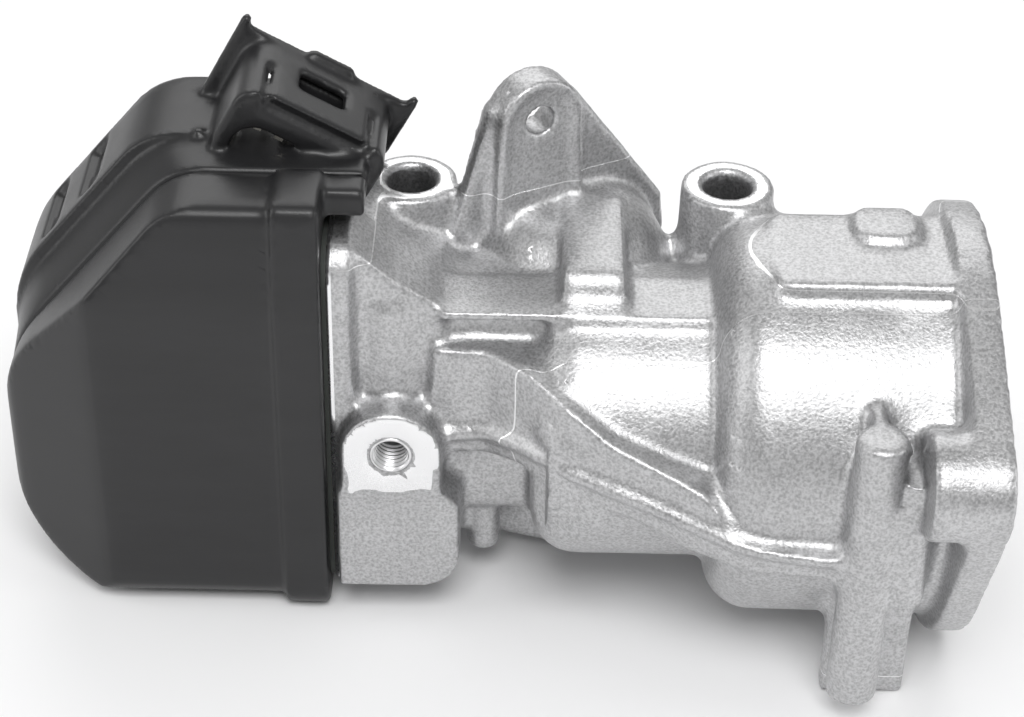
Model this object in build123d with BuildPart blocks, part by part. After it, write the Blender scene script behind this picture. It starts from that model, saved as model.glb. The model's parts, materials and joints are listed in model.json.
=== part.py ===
"""Exhaust gas recirculation (EGR) valve with a geared electric actuator.

Frame, in millimetres: the origin is the centre of the gas inlet flange's face, +X points out of
that flange along the valve stem, +Z is up and +Y runs away from the cover side of the actuator.
"""
import math
import os

from build123d import *

os.makedirs("parts", exist_ok=True)

# ---------------------------------------------------------------- driving dimensions
# gas passage, all round the X axis
INLET_R, INLET_WALL = 28.0, 6.0  # inlet bore and the wall of its tube
INLET_DEPTH = 32.0  # from the flange face to the seat
INLET_BORED, INLET_STEP = 14.0, 0.8  # depth of the machined bore and its step down to the cast wall
FLANGE_R, FLANGE_T = 37.0, 6.0
SHOULDER_R = 8.0  # rounding where the inlet tube steps down
TUBE_END_X = -44.0  # left end of the inlet tube
SEAT_R, SEAT_OUTER_R, SEAT_T = 12.5, 16.0, 7.0
THROAT_R = 13.5
CHAMBER_R, CHAMBER_WALL = 20.0, 5.0
CHAMBER_START_X, CHAMBER_END_X = -47.0, -70.0
CHAMBER_WALL_END = 4.0  # wall behind the chamber
CHAMBER_ROUND = 8.0
# bolt lugs of the inlet flange
LUG_PITCH_R, LUG_R, LUG_LENGTH, LUG_ANGLE, LUG_THREAD_R = 41.0, 8.9, 12.5, 158.5, 3.4
LUG_THREAD_DEPTH = 11.0
# outlet port and the vertical bosses beside it
PORT_X, PORT_Y, PORT_R, PORT_WALL = -68.4, 20.0, 12.5, 4.9
PORT_TOP_Z, DOME_TOP_Z, DOME_ROUND = 6.0, 30.0, 12.0
FOOT_Z, FOOT_T = -33.0, 9.0
BOSS_SPAN, BOSS_TOP_Z, BOSS_TOP_R, BOSS_BASE_R = 54.1, 33.4, 8.0, 8.9
BOLT_HOLE_R, BOLT_HOLE_CHAMFER = 4.25, 0.7
# casting features
PLATFORM_Z, PLATFORM_X0, PLATFORM_X1 = 34.5, -35.0, -6.0
PLATFORM_Y0, PLATFORM_Y1 = -12.0, 10.0
PAD_X0, PAD_X1, PAD_Y0, PAD_Y1, PAD_HEIGHT = -21.5, -11.0, 0.0, 9.5, 1.8
LEDGE_Z, LEDGE_T, LEDGE_X0, LEDGE_X1, LEDGE_Y0, LEDGE_Y1 = 25.2, 1.6, -89.6, -42.0, -9.0, 3.2
BLOCK_X0, BLOCK_X1, BLOCK_Y0, BLOCK_Z, BLOCK_ROUND = -69.6, -59.2, -5.5, 30.5, 4.0
POST_X, POST_Y, POST_R, POST_TOP_Z, FLOOR_Z = -19.6, -35.4, 4.3, 23.0, -37.0
SIDE_POST_X, SIDE_POST_R, SIDE_POST_TOP_Z = -13.2, 3.4, 14.5
NECK_Y0, NECK_Y1, NECK_Z0, NECK_Z1 = -6.2, 14.0, -20.0, 24.0
SENSOR_BOSS_X, SENSOR_BOSS_Z, SENSOR_BOSS_R, SENSOR_BOSS_Y = -97.6, -0.4, 8.5, -14.4
SENSOR_HOLE_R, SENSOR_HOLE_DEPTH, SENSOR_HOLE_CHAMFER = 3.2, 8.0, 0.9
SKIRT_Y, SKIRT_X1, SKIRT_Z0, SKIRT_ROUND = -13.9, -86.0, -30.0, 7.0
STUD_X, STUD_R, STUD_Z0 = -82.0, 3.0, -30.5
WEB_T = 1.2  # how far the parting rib stands proud
RIB_HEIGHT = 1.8
# fixing ear
EAR_X, EAR_Y, EAR_HOLE_Z, EAR_HOLE_R = -74.9, 20.0, 46.5, 2.6
EAR_TURN, EAR_T, EAR_TOP_R, EAR_BASE_WIDTH, EAR_BASE_Z = 27.0, 6.0, 7.7, 17.0, 16.0
EAR_RIM, EAR_RIM_HEIGHT = 1.5, 0.9
GUSSET_T = 3.6
# joint between the casting and the actuator
JOINT_X, JOINT_FLANGE_T, GASKET_T = -108.0, 4.0, 0.8
JOINT_Y0, JOINT_Y1, JOINT_Z0, JOINT_Z1, JOINT_ROUND = -10.0, 31.5, -34.5, 37.0, 6.0
WINDOW_INSET, WINDOW_Y0, WINDOW_Y1 = 5.0, -8.3, 23.0
# actuator housing
WALL = 2.2
COVER_TOP_Z, COVER_BOTTOM_Z, HOUSING_LEFT_X = 44.5, -35.8, -164.3
COVER_FRONT_Y, COVER_REAR_Y, SEAM_SEAL_T = -12.0, 2.7, 0.3
HOUSING_REAR_Y, HOUSING_TOP_Z = 34.0, 45.5
PANEL_LEFT_X, FLANK_Y, PANEL_TOP_Z, TOP_LEAN = -147.0, -2.5, 27.0, 2.7
BAND_WIDTH, BAND_T = 7.7, 1.2
BULKHEAD_Y0, BULKHEAD_T = 9.0, 4.0
GROOVE_Y0, GROOVE_WIDTH, GROOVE_DEPTH = 10.6, 1.8, 1.8
LOBE_X1, LOBE_Y0, LOBE_Y1, LOBE_Z0 = -102.0, -3.0, 24.0, 39.5
# electrical connector, its mouth towards +Y
PLUG_X, PLUG_Z, PLUG_TILT = -109.7, 51.2, 28.8
PLUG_WIDTH, PLUG_HEIGHT, PLUG_ROUND = 27.4, 16.0, 4.5
PLUG_FRONT_Y, PLUG_MOUTH_Y, PLUG_BACK_WALL = 8.0, 27.0, 4.0
COLLAR_WIDTH, COLLAR_T = 33.2, 2.0
PLUG_WALL, PLUG_CAVITY_HEIGHT = 1.8, 10.4
LATCH_WIDTH, LATCH_Y0, LATCH_Y1 = 8.2, 15.3, 21.0
POCKET_X0, POCKET_X1, POCKET_Y1, POCKET_Z, TRIM_GAP = -129.0, -107.0, 12.0, 39.5, 0.4
PIN_COUNT, PIN_PITCH, PIN_WIDTH, PIN_T, PIN_LENGTH = 5, 4.0, 1.5, 0.8, 12.5
# output crank and its gear train, axes along Y
CRANK_X, CRANK_Z, CRANK_R, CRANK_REST_ANGLE, STROKE = -134.0, -6.5, 8.0, 120.0, 8.0
OUTPUT_MODULE, OUTPUT_TEETH, IDLER_PINION_TEETH = 0.9, 36, 10
WHEEL_MODULE, WHEEL_TEETH, MOTOR_PINION_TEETH = 0.6, 36, 10
CENTRE_EXTRA, BACKLASH = 0.06, 0.16
IDLER_ANGLE, MOTOR_ANGLE = 88.0, 80.0
SECTOR_START, SECTOR_SWEEP, SECTOR_HUB_R = 76.0, 84.0, 7.0
GEAR_Y0, GEAR_T = -6.9, 3.3
WHEEL_Y0, WHEEL_T = -8.9, 1.8
OUTPUT_SHAFT_R, CRANK_PIN_R, AXLE_R = 2.8, 3.0, 1.5
RUNNING, SLIDING = 0.05, 0.2  # radial running clearance and the crank pin's side clearance
# motor
MOTOR_R, MOTOR_CAN_WALL, MOTOR_LENGTH, MOTOR_SHAFT_R = 12.0, 1.2, 18.0, 1.0
MAGNET_T, AIR_GAP, ARMATURE_LENGTH = 2.4, 0.4, 9.0
# valve and spring
STEM_R, POPPET_R, POPPET_T, SEAT_GAP = 3.0, 14.6, 3.2, 0.1
GUIDE_R, GUIDE_LENGTH = 5.0, 24.0
SEAL_R, SEAL_T = 7.0, 3.0
SPRING_R, SPRING_WIRE_R, SPRING_TURNS, SPRING_REST_LENGTH = 6.2, 0.8, 4, 13.5
RETAINER_R, RETAINER_T = 7.1, 1.4
YOKE_T, YOKE_ARM, YOKE_HUB, YOKE_Y0, YOKE_BOTTOM_Z, TENON_R = 4.0, 2.6, 4.8, -1.5, -2.9, 1.2
# bushes, position sensor and joint screws
BUSH_WALL, BUSH_SEAT, SHAFT_TAIL, MAGNET_LENGTH = 1.2, 0.9, 1.5, 2.5
BOARD_Y0, BOARD_T, BOARD_WIDTH, BOARD_HEIGHT, HALL_T = 19.0, 1.2, 34.0, 36.0, 1.2
SCREW_R, SCREW_HEAD_R, SCREW_HEAD_T, SCREW_LENGTH, SCREW_CLEARANCE = 1.7, 2.8, 2.0, 11.0, 0.3
SCREW_BOSS_R, SCREW_BOSS_LENGTH = 4.2, 9.0
SCREW_PLACES = ((28.6, 29.0), (28.6, -18.0))  # in (Y, Z), clear of the joint's window

# ---------------------------------------------------------------- worked-out places
TUBE_R = INLET_R + INLET_WALL
CHAMBER_OUTER_R = CHAMBER_R + CHAMBER_WALL
SEAT_X = -INLET_DEPTH
PORT_OUTER_R = PORT_R + PORT_WALL
BOSS_XS = (PORT_X - BOSS_SPAN / 2, PORT_X + BOSS_SPAN / 2)
HOUSING_X = JOINT_X - GASKET_T
WINDOW_Z0, WINDOW_Z1 = JOINT_Z0 + WINDOW_INSET, JOINT_Z1 - WINDOW_INSET
SEAM_Y = COVER_REAR_Y + SEAM_SEAL_T
BULKHEAD_Y1 = BULKHEAD_Y0 + BULKHEAD_T
OUTPUT_PITCH_R = OUTPUT_MODULE * OUTPUT_TEETH / 2
IDLER_DISTANCE = OUTPUT_MODULE * (OUTPUT_TEETH + IDLER_PINION_TEETH) / 2 + CENTRE_EXTRA
MOTOR_DISTANCE = WHEEL_MODULE * (WHEEL_TEETH + MOTOR_PINION_TEETH) / 2 + CENTRE_EXTRA


def polar(x, z, radius, degrees):
    """The point at a radius and angle from (x, z), the angle measured from +X towards +Z."""
    turn = math.radians(degrees)
    return x + radius * math.cos(turn), z + radius * math.sin(turn)


IDLER_X, IDLER_Z = polar(CRANK_X, CRANK_Z, IDLER_DISTANCE, IDLER_ANGLE)
MOTOR_X, MOTOR_Z = polar(IDLER_X, IDLER_Z, MOTOR_DISTANCE, MOTOR_ANGLE)
PIN_X, PIN_Z = polar(CRANK_X, CRANK_Z, CRANK_R, CRANK_REST_ANGLE)
MOTOR_Y0 = BULKHEAD_Y1 + 0.1
PLUG_AXIS_X = (math.cos(math.radians(PLUG_TILT)), 0, -math.sin(math.radians(PLUG_TILT)))


def facing(y):
    """The plane across Y at y; a sketch on it is drawn in (X, Z) and extrudes towards -Y."""
    return Plane.XZ.offset(-y)


def plug_plane(y):
    """The tilted plane of the connector's section at y, from the middle of its top wall."""
    return Plane(origin=(PLUG_X, y, PLUG_Z), x_dir=PLUG_AXIS_X, z_dir=(0, -1, 0))


def gear_outline(module, teeth, phase):
    """The outline of a spur gear with involute flanks, one tooth centred on the phase angle."""
    pitch_r = module * teeth / 2
    base_r = pitch_r * math.cos(math.radians(20))
    root_r, tip_r = pitch_r - 1.25 * module, pitch_r + module

    def half_angle(radius):
        pressure = math.acos(min(1.0, base_r / radius))
        flank = math.tan(math.radians(20)) - math.radians(20) - math.tan(pressure) + pressure
        return math.pi / (2 * teeth) - BACKLASH / (2 * pitch_r) + flank

    with BuildSketch() as outline:
        Circle(root_r)
        with BuildLine():
            flank = [(root_r - 0.3 * module, half_angle(base_r))]
            flank += [(radius, half_angle(radius)) for radius in (max(root_r, base_r), pitch_r, tip_r)]
            lower = [(radius * math.cos(turn), -radius * math.sin(turn)) for radius, turn in flank]
            upper = [(x, -y) for x, y in reversed(lower)]
            Polyline(*lower, *upper, close=True)
        tooth = make_face(mode=Mode.PRIVATE)
        with PolarLocations(0, teeth, start_angle=phase):
            add(tooth)
    return outline.sketch


def actuator_outline(top_z, shoulder_x, cheek_z, radii, inset):
    """The actuator's rounded outline in (X, Z), open towards the joint, grown or shrunk by inset."""
    with BuildSketch() as outline:
        with BuildLine():
            path = FilletPolyline(
                (HOUSING_X, top_z),
                (shoulder_x, top_z),
                (HOUSING_LEFT_X, cheek_z),
                (HOUSING_LEFT_X, COVER_BOTTOM_Z),
                (HOUSING_X, COVER_BOTTOM_Z),
                radius=radii,
            )
            Line(path @ 1, path @ 0)
        make_face()
        if inset != 0:
            offset(amount=-inset)
    return outline.sketch


def cover_outline(inset):
    return actuator_outline(COVER_TOP_Z, -133.5, 8.2, [12, 25, 22], inset)


def housing_outline(inset):
    return actuator_outline(HOUSING_TOP_Z, -139.5, 16.0, [14, 22, 22], inset)


def cover_form(inset):
    """The cover's solid outer form, shrunk by inset: its side outline cut by plan and end profiles."""
    with BuildPart() as form:
        with BuildSketch(facing(COVER_REAR_Y)):
            add(cover_outline(inset))
        extrude(amount=COVER_REAR_Y - COVER_FRONT_Y - inset)
        with BuildSketch(Plane.XY.offset(COVER_BOTTOM_Z - 5)):
            with BuildLine():
                path = FilletPolyline(
                    (HOUSING_X + 5, COVER_FRONT_Y + inset),
                    (PANEL_LEFT_X + inset / 2, COVER_FRONT_Y + inset),
                    (HOUSING_LEFT_X + inset, FLANK_Y + inset / 2),
                    (HOUSING_LEFT_X + inset, COVER_REAR_Y + 1),
                    radius=[5, 4],
                )
                Polyline(path @ 1, (HOUSING_X + 5, COVER_REAR_Y + 1), path @ 0)
            make_face()
        extrude(amount=COVER_TOP_Z - COVER_BOTTOM_Z + 10, mode=Mode.INTERSECT)
        with BuildSketch(Plane.YZ.offset(HOUSING_LEFT_X - 5)):
            with BuildLine():
                path = FilletPolyline(
                    (COVER_REAR_Y + 1, COVER_BOTTOM_Z + inset),
                    (COVER_FRONT_Y + inset, COVER_BOTTOM_Z + inset),
                    (COVER_FRONT_Y + inset, PANEL_TOP_Z),
                    (COVER_FRONT_Y + inset + TOP_LEAN, COVER_TOP_Z - inset),
                    (COVER_REAR_Y + 1, COVER_TOP_Z - inset),
                    radius=[5, 9, 2.5],
                )
                Line(path @ 1, path @ 0)
            make_face()
        extrude(amount=HOUSING_X - HOUSING_LEFT_X + 10, mode=Mode.INTERSECT)
    return form.part


# ---------------------------------------------------------------- valve body casting
def front_web():
    """The web that widens from the neck to the inlet tube, its top edge falling along X."""
    with BuildPart() as web:
        with BuildSketch(Plane.XY.offset(-8)):
            with BuildLine():
                Polyline(
                    (-90, 0), (-90, -9.4), (-82.5, -8.8), (-69, -14.9), (-59, -23.6),
                    (-46, -31.0), (-36.5, -35.4), (-20, -36.6), (-20, 0), close=True,
                )
            make_face()
            fillet(vertices().filter_by_position(Axis.X, -83, -35), 6)
        extrude(amount=26)
        with BuildSketch(facing(0)):
            with BuildLine():
                Polyline(
                    (-91, 16.5), (-76, 14.5), (-68, 12), (-59, 7.0), (-46, 2.0), (-36, -0.5),
                    (-19, -2.5), (-19, -7), (-46, -7), (-70, -4), (-91, -3), close=True,
                )
            make_face()
            fillet(vertices().filter_by_position(Axis.X, -80, -30), 4)
        extrude(amount=45, mode=Mode.INTERSECT)
    return web.part


def parting_rib():
    """The thin rib along the casting's parting line, proud of the web's face."""
    with BuildPart() as rib:
        with BuildSketch(Plane.XY.offset(-12)):
            with BuildLine():
                Polyline(
                    (-90, 0), (-90, -9.4), (-82.5, -8.8), (-69, -14.9), (-59, -23.6),
                    (-46, -31.0), (-36.5, -35.4), (-20, -36.6), (-20, 0), close=True,
                )
            make_face()
            fillet(vertices().filter_by_position(Axis.X, -83, -35), 6)
            offset(amount=WEB_T)
        extrude(amount=26)
        with BuildSketch(facing(0)):
            with BuildLine():
                Polyline(
                    (-92, 1.2), (-68, 0.1), (-46, -2.3), (-19, -4.5),
                    (-19, -4.5 - RIB_HEIGHT), (-46, -2.3 - RIB_HEIGHT), (-68, 0.1 - RIB_HEIGHT),
                    (-92, 1.2 - RIB_HEIGHT), close=True,
                )
            make_face()
        extrude(amount=45, mode=Mode.INTERSECT)
    return rib.part


WEB, RIB = front_web(), parting_rib()
ear_normal = (math.sin(math.radians(EAR_TURN)), -math.cos(math.radians(EAR_TURN)), 0)
ear_plane = Plane(
    origin=(EAR_X, EAR_Y, 0),
    x_dir=(math.cos(math.radians(EAR_TURN)), math.sin(math.radians(EAR_TURN)), 0),
    z_dir=ear_normal,
)

with BuildPart() as valve_body:
    # inlet tube, rounded shoulder and chamber tube, turned round the X axis
    with BuildSketch(Plane.XY):
        with BuildLine():
            outer_end = CHAMBER_END_X - CHAMBER_WALL_END
            Polyline((0, 0), (0, TUBE_R), (TUBE_END_X + SHOULDER_R, TUBE_R))
            CenterArc((TUBE_END_X + SHOULDER_R, TUBE_R - SHOULDER_R), SHOULDER_R, 90, 90)
            Polyline(
                (TUBE_END_X, TUBE_R - SHOULDER_R),
                (TUBE_END_X, CHAMBER_OUTER_R),
                (outer_end + CHAMBER_ROUND, CHAMBER_OUTER_R),
            )
            CenterArc(
                (outer_end + CHAMBER_ROUND, CHAMBER_OUTER_R - CHAMBER_ROUND), CHAMBER_ROUND, 90, 90
            )
            Polyline((outer_end, CHAMBER_OUTER_R - CHAMBER_ROUND), (outer_end, 0), (0, 0))
        make_face()
    revolve(axis=Axis.X)
    # inlet flange with its two lugs
    with BuildSketch(Plane.YZ.offset(-FLANGE_T)):
        Circle(FLANGE_R)
        with PolarLocations(LUG_PITCH_R, 2, start_angle=LUG_ANGLE):
            Circle(LUG_R)
        make_hull()
    extrude(amount=FLANGE_T)
    with BuildSketch(Plane.YZ.offset(-LUG_LENGTH)):
        with PolarLocations(LUG_PITCH_R, 2, start_angle=LUG_ANGLE):
            Circle(LUG_R)
    extrude(amount=LUG_LENGTH)
    # machined platform on the inlet tube with its raised pad
    with BuildSketch(Plane.XY):
        with Locations(((PLATFORM_X0 + PLATFORM_X1) / 2, (PLATFORM_Y0 + PLATFORM_Y1) / 2)):
            RectangleRounded(PLATFORM_X1 - PLATFORM_X0, PLATFORM_Y1 - PLATFORM_Y0, 2)
    extrude(amount=PLATFORM_Z)
    with BuildSketch(Plane.XY.offset(PLATFORM_Z - 1)):
        with Locations(((PAD_X0 + PAD_X1) / 2, (PAD_Y0 + PAD_Y1) / 2)):
            RectangleRounded(PAD_X1 - PAD_X0, PAD_Y1 - PAD_Y0, 3)
    extrude(amount=PAD_HEIGHT + 1)
    # neck between the chamber and the joint flange, with the ledge over it
    with BuildSketch(Plane.YZ.offset(JOINT_X + 1)):
        with Locations(((NECK_Y0 + NECK_Y1) / 2, (NECK_Z0 + NECK_Z1) / 2)):
            RectangleRounded(NECK_Y1 - NECK_Y0, NECK_Z1 - NECK_Z0, 5)
    extrude(amount=CHAMBER_END_X - JOINT_X + 8)
    with BuildSketch(Plane.XY.offset(LEDGE_Z)):
        with Locations(((LEDGE_X0 + LEDGE_X1) / 2, (LEDGE_Y0 + LEDGE_Y1) / 2)):
            RectangleRounded(LEDGE_X1 - LEDGE_X0, LEDGE_Y1 - LEDGE_Y0, 1)
    extrude(amount=-LEDGE_T)
    with BuildSketch(Plane.YZ.offset(BLOCK_X0)):
        with BuildLine():
            path = FilletPolyline((BLOCK_Y0, 0), (BLOCK_Y0, BLOCK_Z), (PORT_Y, BLOCK_Z), radius=BLOCK_ROUND)
            Polyline(path @ 1, (PORT_Y, 0), path @ 0)
        make_face()
    extrude(amount=BLOCK_X1 - BLOCK_X0)
    add(WEB)
    add(RIB)
    # outlet port with its domed top
    with BuildSketch(Plane(origin=(PORT_X, PORT_Y, 0), x_dir=(1, 0, 0), z_dir=(0, -1, 0))):
        with BuildLine():
            Polyline((0, DOME_TOP_Z), (0, FOOT_Z), (PORT_OUTER_R, FOOT_Z), (PORT_OUTER_R, DOME_TOP_Z - DOME_ROUND))
            CenterArc((PORT_OUTER_R - DOME_ROUND, DOME_TOP_Z - DOME_ROUND), DOME_ROUND, 0, 90)
            Line((PORT_OUTER_R - DOME_ROUND, DOME_TOP_Z), (0, DOME_TOP_Z))
        make_face()
    revolve(axis=Axis((PORT_X, PORT_Y, 0), (0, 0, 1)))
    # mounting foot and the two tapered bolt bosses
    with BuildSketch(Plane.XY.offset(FOOT_Z)):
        with Locations(*[(x, PORT_Y) for x in BOSS_XS]):
            Circle(BOSS_BASE_R)
        with Locations((PORT_X, PORT_Y)):
            Circle(PORT_OUTER_R)
        make_hull()
    extrude(amount=FOOT_T)
    with Locations(*[(x, PORT_Y, FOOT_Z) for x in BOSS_XS]):
        Cone(BOSS_BASE_R, BOSS_TOP_R, BOSS_TOP_Z - FOOT_Z, align=(Align.CENTER, Align.CENTER, Align.MIN))
    # joint flange of the actuator and the facet that braces it to the boss
    with BuildSketch(Plane.YZ.offset(JOINT_X)):
        with Locations(((JOINT_Y0 + JOINT_Y1) / 2, (JOINT_Z0 + JOINT_Z1) / 2)):
            RectangleRounded(JOINT_Y1 - JOINT_Y0, JOINT_Z1 - JOINT_Z0, JOINT_ROUND)
    extrude(amount=JOINT_FLANGE_T)
    with BuildSketch(facing(PORT_Y - BOSS_TOP_R)):
        with BuildLine():
            Polyline(
                (JOINT_X + 1, JOINT_Z1 - 1), (JOINT_X + JOINT_FLANGE_T, 33.8), (-98.5, 29), (-93, 27.5),
                (-88, LEDGE_Z - 1), (-88, 0), (JOINT_X + 1, 0), close=True,
            )
        make_face()
    extrude(amount=7)
    # sensor boss with its machined face, and the skirt below it
    with BuildSketch(facing(PORT_Y - 6)):
        with Locations((SENSOR_BOSS_X, SENSOR_BOSS_Z)):
            Circle(SENSOR_BOSS_R)
        with Locations((SENSOR_BOSS_X, SENSOR_BOSS_Z - SENSOR_BOSS_R / 2)):
            Rectangle(2 * SENSOR_BOSS_R, SENSOR_BOSS_R)
    extrude(amount=PORT_Y - 6 - SENSOR_BOSS_Y)
    with BuildSketch(facing(NECK_Y1)):
        with BuildLine():
            path = FilletPolyline(
                (JOINT_X + 1, SENSOR_BOSS_Z - SENSOR_BOSS_R),
                (SKIRT_X1, SENSOR_BOSS_Z - SENSOR_BOSS_R),
                (SKIRT_X1, SKIRT_Z0),
                (JOINT_X + 1, SKIRT_Z0),
                radius=[SKIRT_ROUND / 2, SKIRT_ROUND],
            )
            Line(path @ 1, path @ 0)
        make_face()
    extrude(amount=NECK_Y1 - SKIRT_Y)
    # stud under the neck
    with BuildSketch(Plane.XY.offset(STUD_Z0)):
        with Locations((STUD_X, 0)):
            Circle(STUD_R)
    extrude(amount=NECK_Z0 + 2 - STUD_Z0)
    # standing posts beside the inlet tube
    for x, radius, top in ((POST_X, POST_R, POST_TOP_Z), (SIDE_POST_X, SIDE_POST_R, SIDE_POST_TOP_Z)):
        with BuildSketch(Plane.XY.offset(FLOOR_Z)):
            with Locations((x, POST_Y)):
                Circle(radius)
            with Locations((x, POST_Y + radius)):
                Rectangle(2 * radius, 2 * radius)
        extrude(amount=top - FLOOR_Z)
    # fixing ear, its raised rim and the gusset behind it
    with BuildSketch(ear_plane.offset(EAR_T / 2)) as ear_outline:
        with Locations((0, EAR_HOLE_Z)):
            Circle(EAR_TOP_R)
        with Locations((0, EAR_BASE_Z)):
            Rectangle(EAR_BASE_WIDTH, 2)
        make_hull()
    extrude(amount=-EAR_T)
    with BuildSketch(ear_plane.offset(EAR_T / 2)):
        add(ear_outline.sketch_local)
        offset(ear_outline.sketch_local, amount=-EAR_RIM, mode=Mode.SUBTRACT)
    extrude(amount=EAR_RIM_HEIGHT)
    with BuildSketch(ear_plane.offset(-EAR_T / 2)):
        with BuildLine():
            Polyline((-8.2, 49), (-17.5, EAR_BASE_Z), (27, EAR_BASE_Z), (26, 24), (8.2, 49), close=True)
        make_face()
    extrude(amount=GUSSET_T)
    # gas passage: inlet, seat pocket, throat, chamber and outlet port
    with BuildSketch(Plane.XY):
        with BuildLine():
            Polyline(
                (1, 0), (1, INLET_R), (-INLET_BORED, INLET_R), (-INLET_BORED, INLET_R - INLET_STEP),
                (SEAT_X, INLET_R - INLET_STEP), (SEAT_X, SEAT_OUTER_R),
                (SEAT_X - SEAT_T, SEAT_OUTER_R), (SEAT_X - SEAT_T, THROAT_R),
                (CHAMBER_START_X, THROAT_R), (CHAMBER_START_X, CHAMBER_R),
                (CHAMBER_END_X, CHAMBER_R), (CHAMBER_END_X, GUIDE_R),
                (JOINT_X + SEAL_T, GUIDE_R), (JOINT_X + SEAL_T, SEAL_R),
                (JOINT_X - 1, SEAL_R), (JOINT_X - 1, 0), close=True,
            )
        make_face()
    revolve(axis=Axis.X, mode=Mode.SUBTRACT)
    with BuildSketch(Plane.XY.offset(FOOT_Z)):
        with Locations((PORT_X, PORT_Y)):
            Circle(PORT_R)
    extrude(amount=PORT_TOP_Z - FOOT_Z, mode=Mode.SUBTRACT)
    # bolt holes, lug threads, ear hole and sensor thread
    with BuildSketch(Plane.XY.offset(FOOT_Z)):
        with Locations(*[(x, PORT_Y) for x in BOSS_XS]):
            Circle(BOLT_HOLE_R)
    extrude(amount=BOSS_TOP_Z - FOOT_Z, mode=Mode.SUBTRACT)
    with Locations(*[(x, PORT_Y, BOSS_TOP_Z - BOLT_HOLE_CHAMFER) for x in BOSS_XS]):
        Cone(
            BOLT_HOLE_R, BOLT_HOLE_R + BOLT_HOLE_CHAMFER, BOLT_HOLE_CHAMFER,
            align=(Align.CENTER, Align.CENTER, Align.MIN), mode=Mode.SUBTRACT,
        )
    with BuildSketch(Plane.YZ):
        with PolarLocations(LUG_PITCH_R, 2, start_angle=LUG_ANGLE):
            Circle(LUG_THREAD_R)
    extrude(amount=-LUG_THREAD_DEPTH, mode=Mode.SUBTRACT)
    with BuildSketch(ear_plane.offset(EAR_T)):
        with Locations((0, EAR_HOLE_Z)):
            Circle(EAR_HOLE_R)
    extrude(amount=-3 * EAR_T, mode=Mode.SUBTRACT)
    with BuildSketch(facing(SENSOR_BOSS_Y)):
        with Locations((SENSOR_BOSS_X, SENSOR_BOSS_Z)):
            Circle(SENSOR_HOLE_R)
    extrude(amount=-SENSOR_HOLE_DEPTH, mode=Mode.SUBTRACT)
    with BuildSketch(Plane.YZ.offset(JOINT_X)):
        with Locations(*SCREW_PLACES):
            Circle(SCREW_R + SCREW_CLEARANCE)
    extrude(amount=JOINT_FLANGE_T, mode=Mode.SUBTRACT)
valve_body.part.label = "valve_body"
export_step(valve_body.part, "parts/valve_body.step")

with BuildPart() as valve_seat:
    with BuildSketch(Plane.XY):
        with BuildLine():
            Polyline(
                (SEAT_X, SEAT_R + 1.2), (SEAT_X, SEAT_OUTER_R), (SEAT_X - SEAT_T, SEAT_OUTER_R),
                (SEAT_X - SEAT_T, SEAT_R), (SEAT_X - 1.2, SEAT_R), close=True,
            )
        make_face()
    revolve(axis=Axis.X)
valve_seat.part.label = "valve_seat"
export_step(valve_seat.part, "parts/valve_seat.step")

with BuildPart() as stem_guide_bush:
    with BuildSketch(Plane.YZ.offset(CHAMBER_END_X - GUIDE_LENGTH - 2)):
        Circle(GUIDE_R)
        Circle(STEM_R + RUNNING, mode=Mode.SUBTRACT)
    extrude(amount=GUIDE_LENGTH)
stem_guide_bush.part.label = "stem_guide_bush"
export_step(stem_guide_bush.part, "parts/stem_guide_bush.step")

with BuildPart() as stem_seal:
    with BuildSketch(Plane.YZ.offset(JOINT_X + 0.2)):
        Circle(SEAL_R)
        Circle(STEM_R + RUNNING, mode=Mode.SUBTRACT)
    extrude(amount=SEAL_T - 0.2)
stem_seal.part.label = "stem_seal"
export_step(stem_seal.part, "parts/stem_seal.step")

# ---------------------------------------------------------------- actuator housing
with BuildPart() as joint_gasket:
    with BuildSketch(Plane.YZ.offset(HOUSING_X)):
        with Locations(((JOINT_Y0 + JOINT_Y1) / 2, (JOINT_Z0 + JOINT_Z1) / 2)):
            RectangleRounded(JOINT_Y1 - JOINT_Y0 - 1, JOINT_Z1 - JOINT_Z0 - 1, JOINT_ROUND)
        with Locations(*SCREW_PLACES):
            Circle(SCREW_R + SCREW_CLEARANCE, mode=Mode.SUBTRACT)
        with Locations(((WINDOW_Y0 + WINDOW_Y1) / 2, (WINDOW_Z0 + WINDOW_Z1) / 2)):
            Rectangle(WINDOW_Y1 - WINDOW_Y0, WINDOW_Z1 - WINDOW_Z0, mode=Mode.SUBTRACT)
    extrude(amount=GASKET_T)
joint_gasket.part.label = "joint_gasket"
export_step(joint_gasket.part, "parts/joint_gasket.step")

COVER_OUTER, COVER_INNER, COVER_GROWN = cover_form(0), cover_form(WALL), cover_form(-BAND_T)

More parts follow.
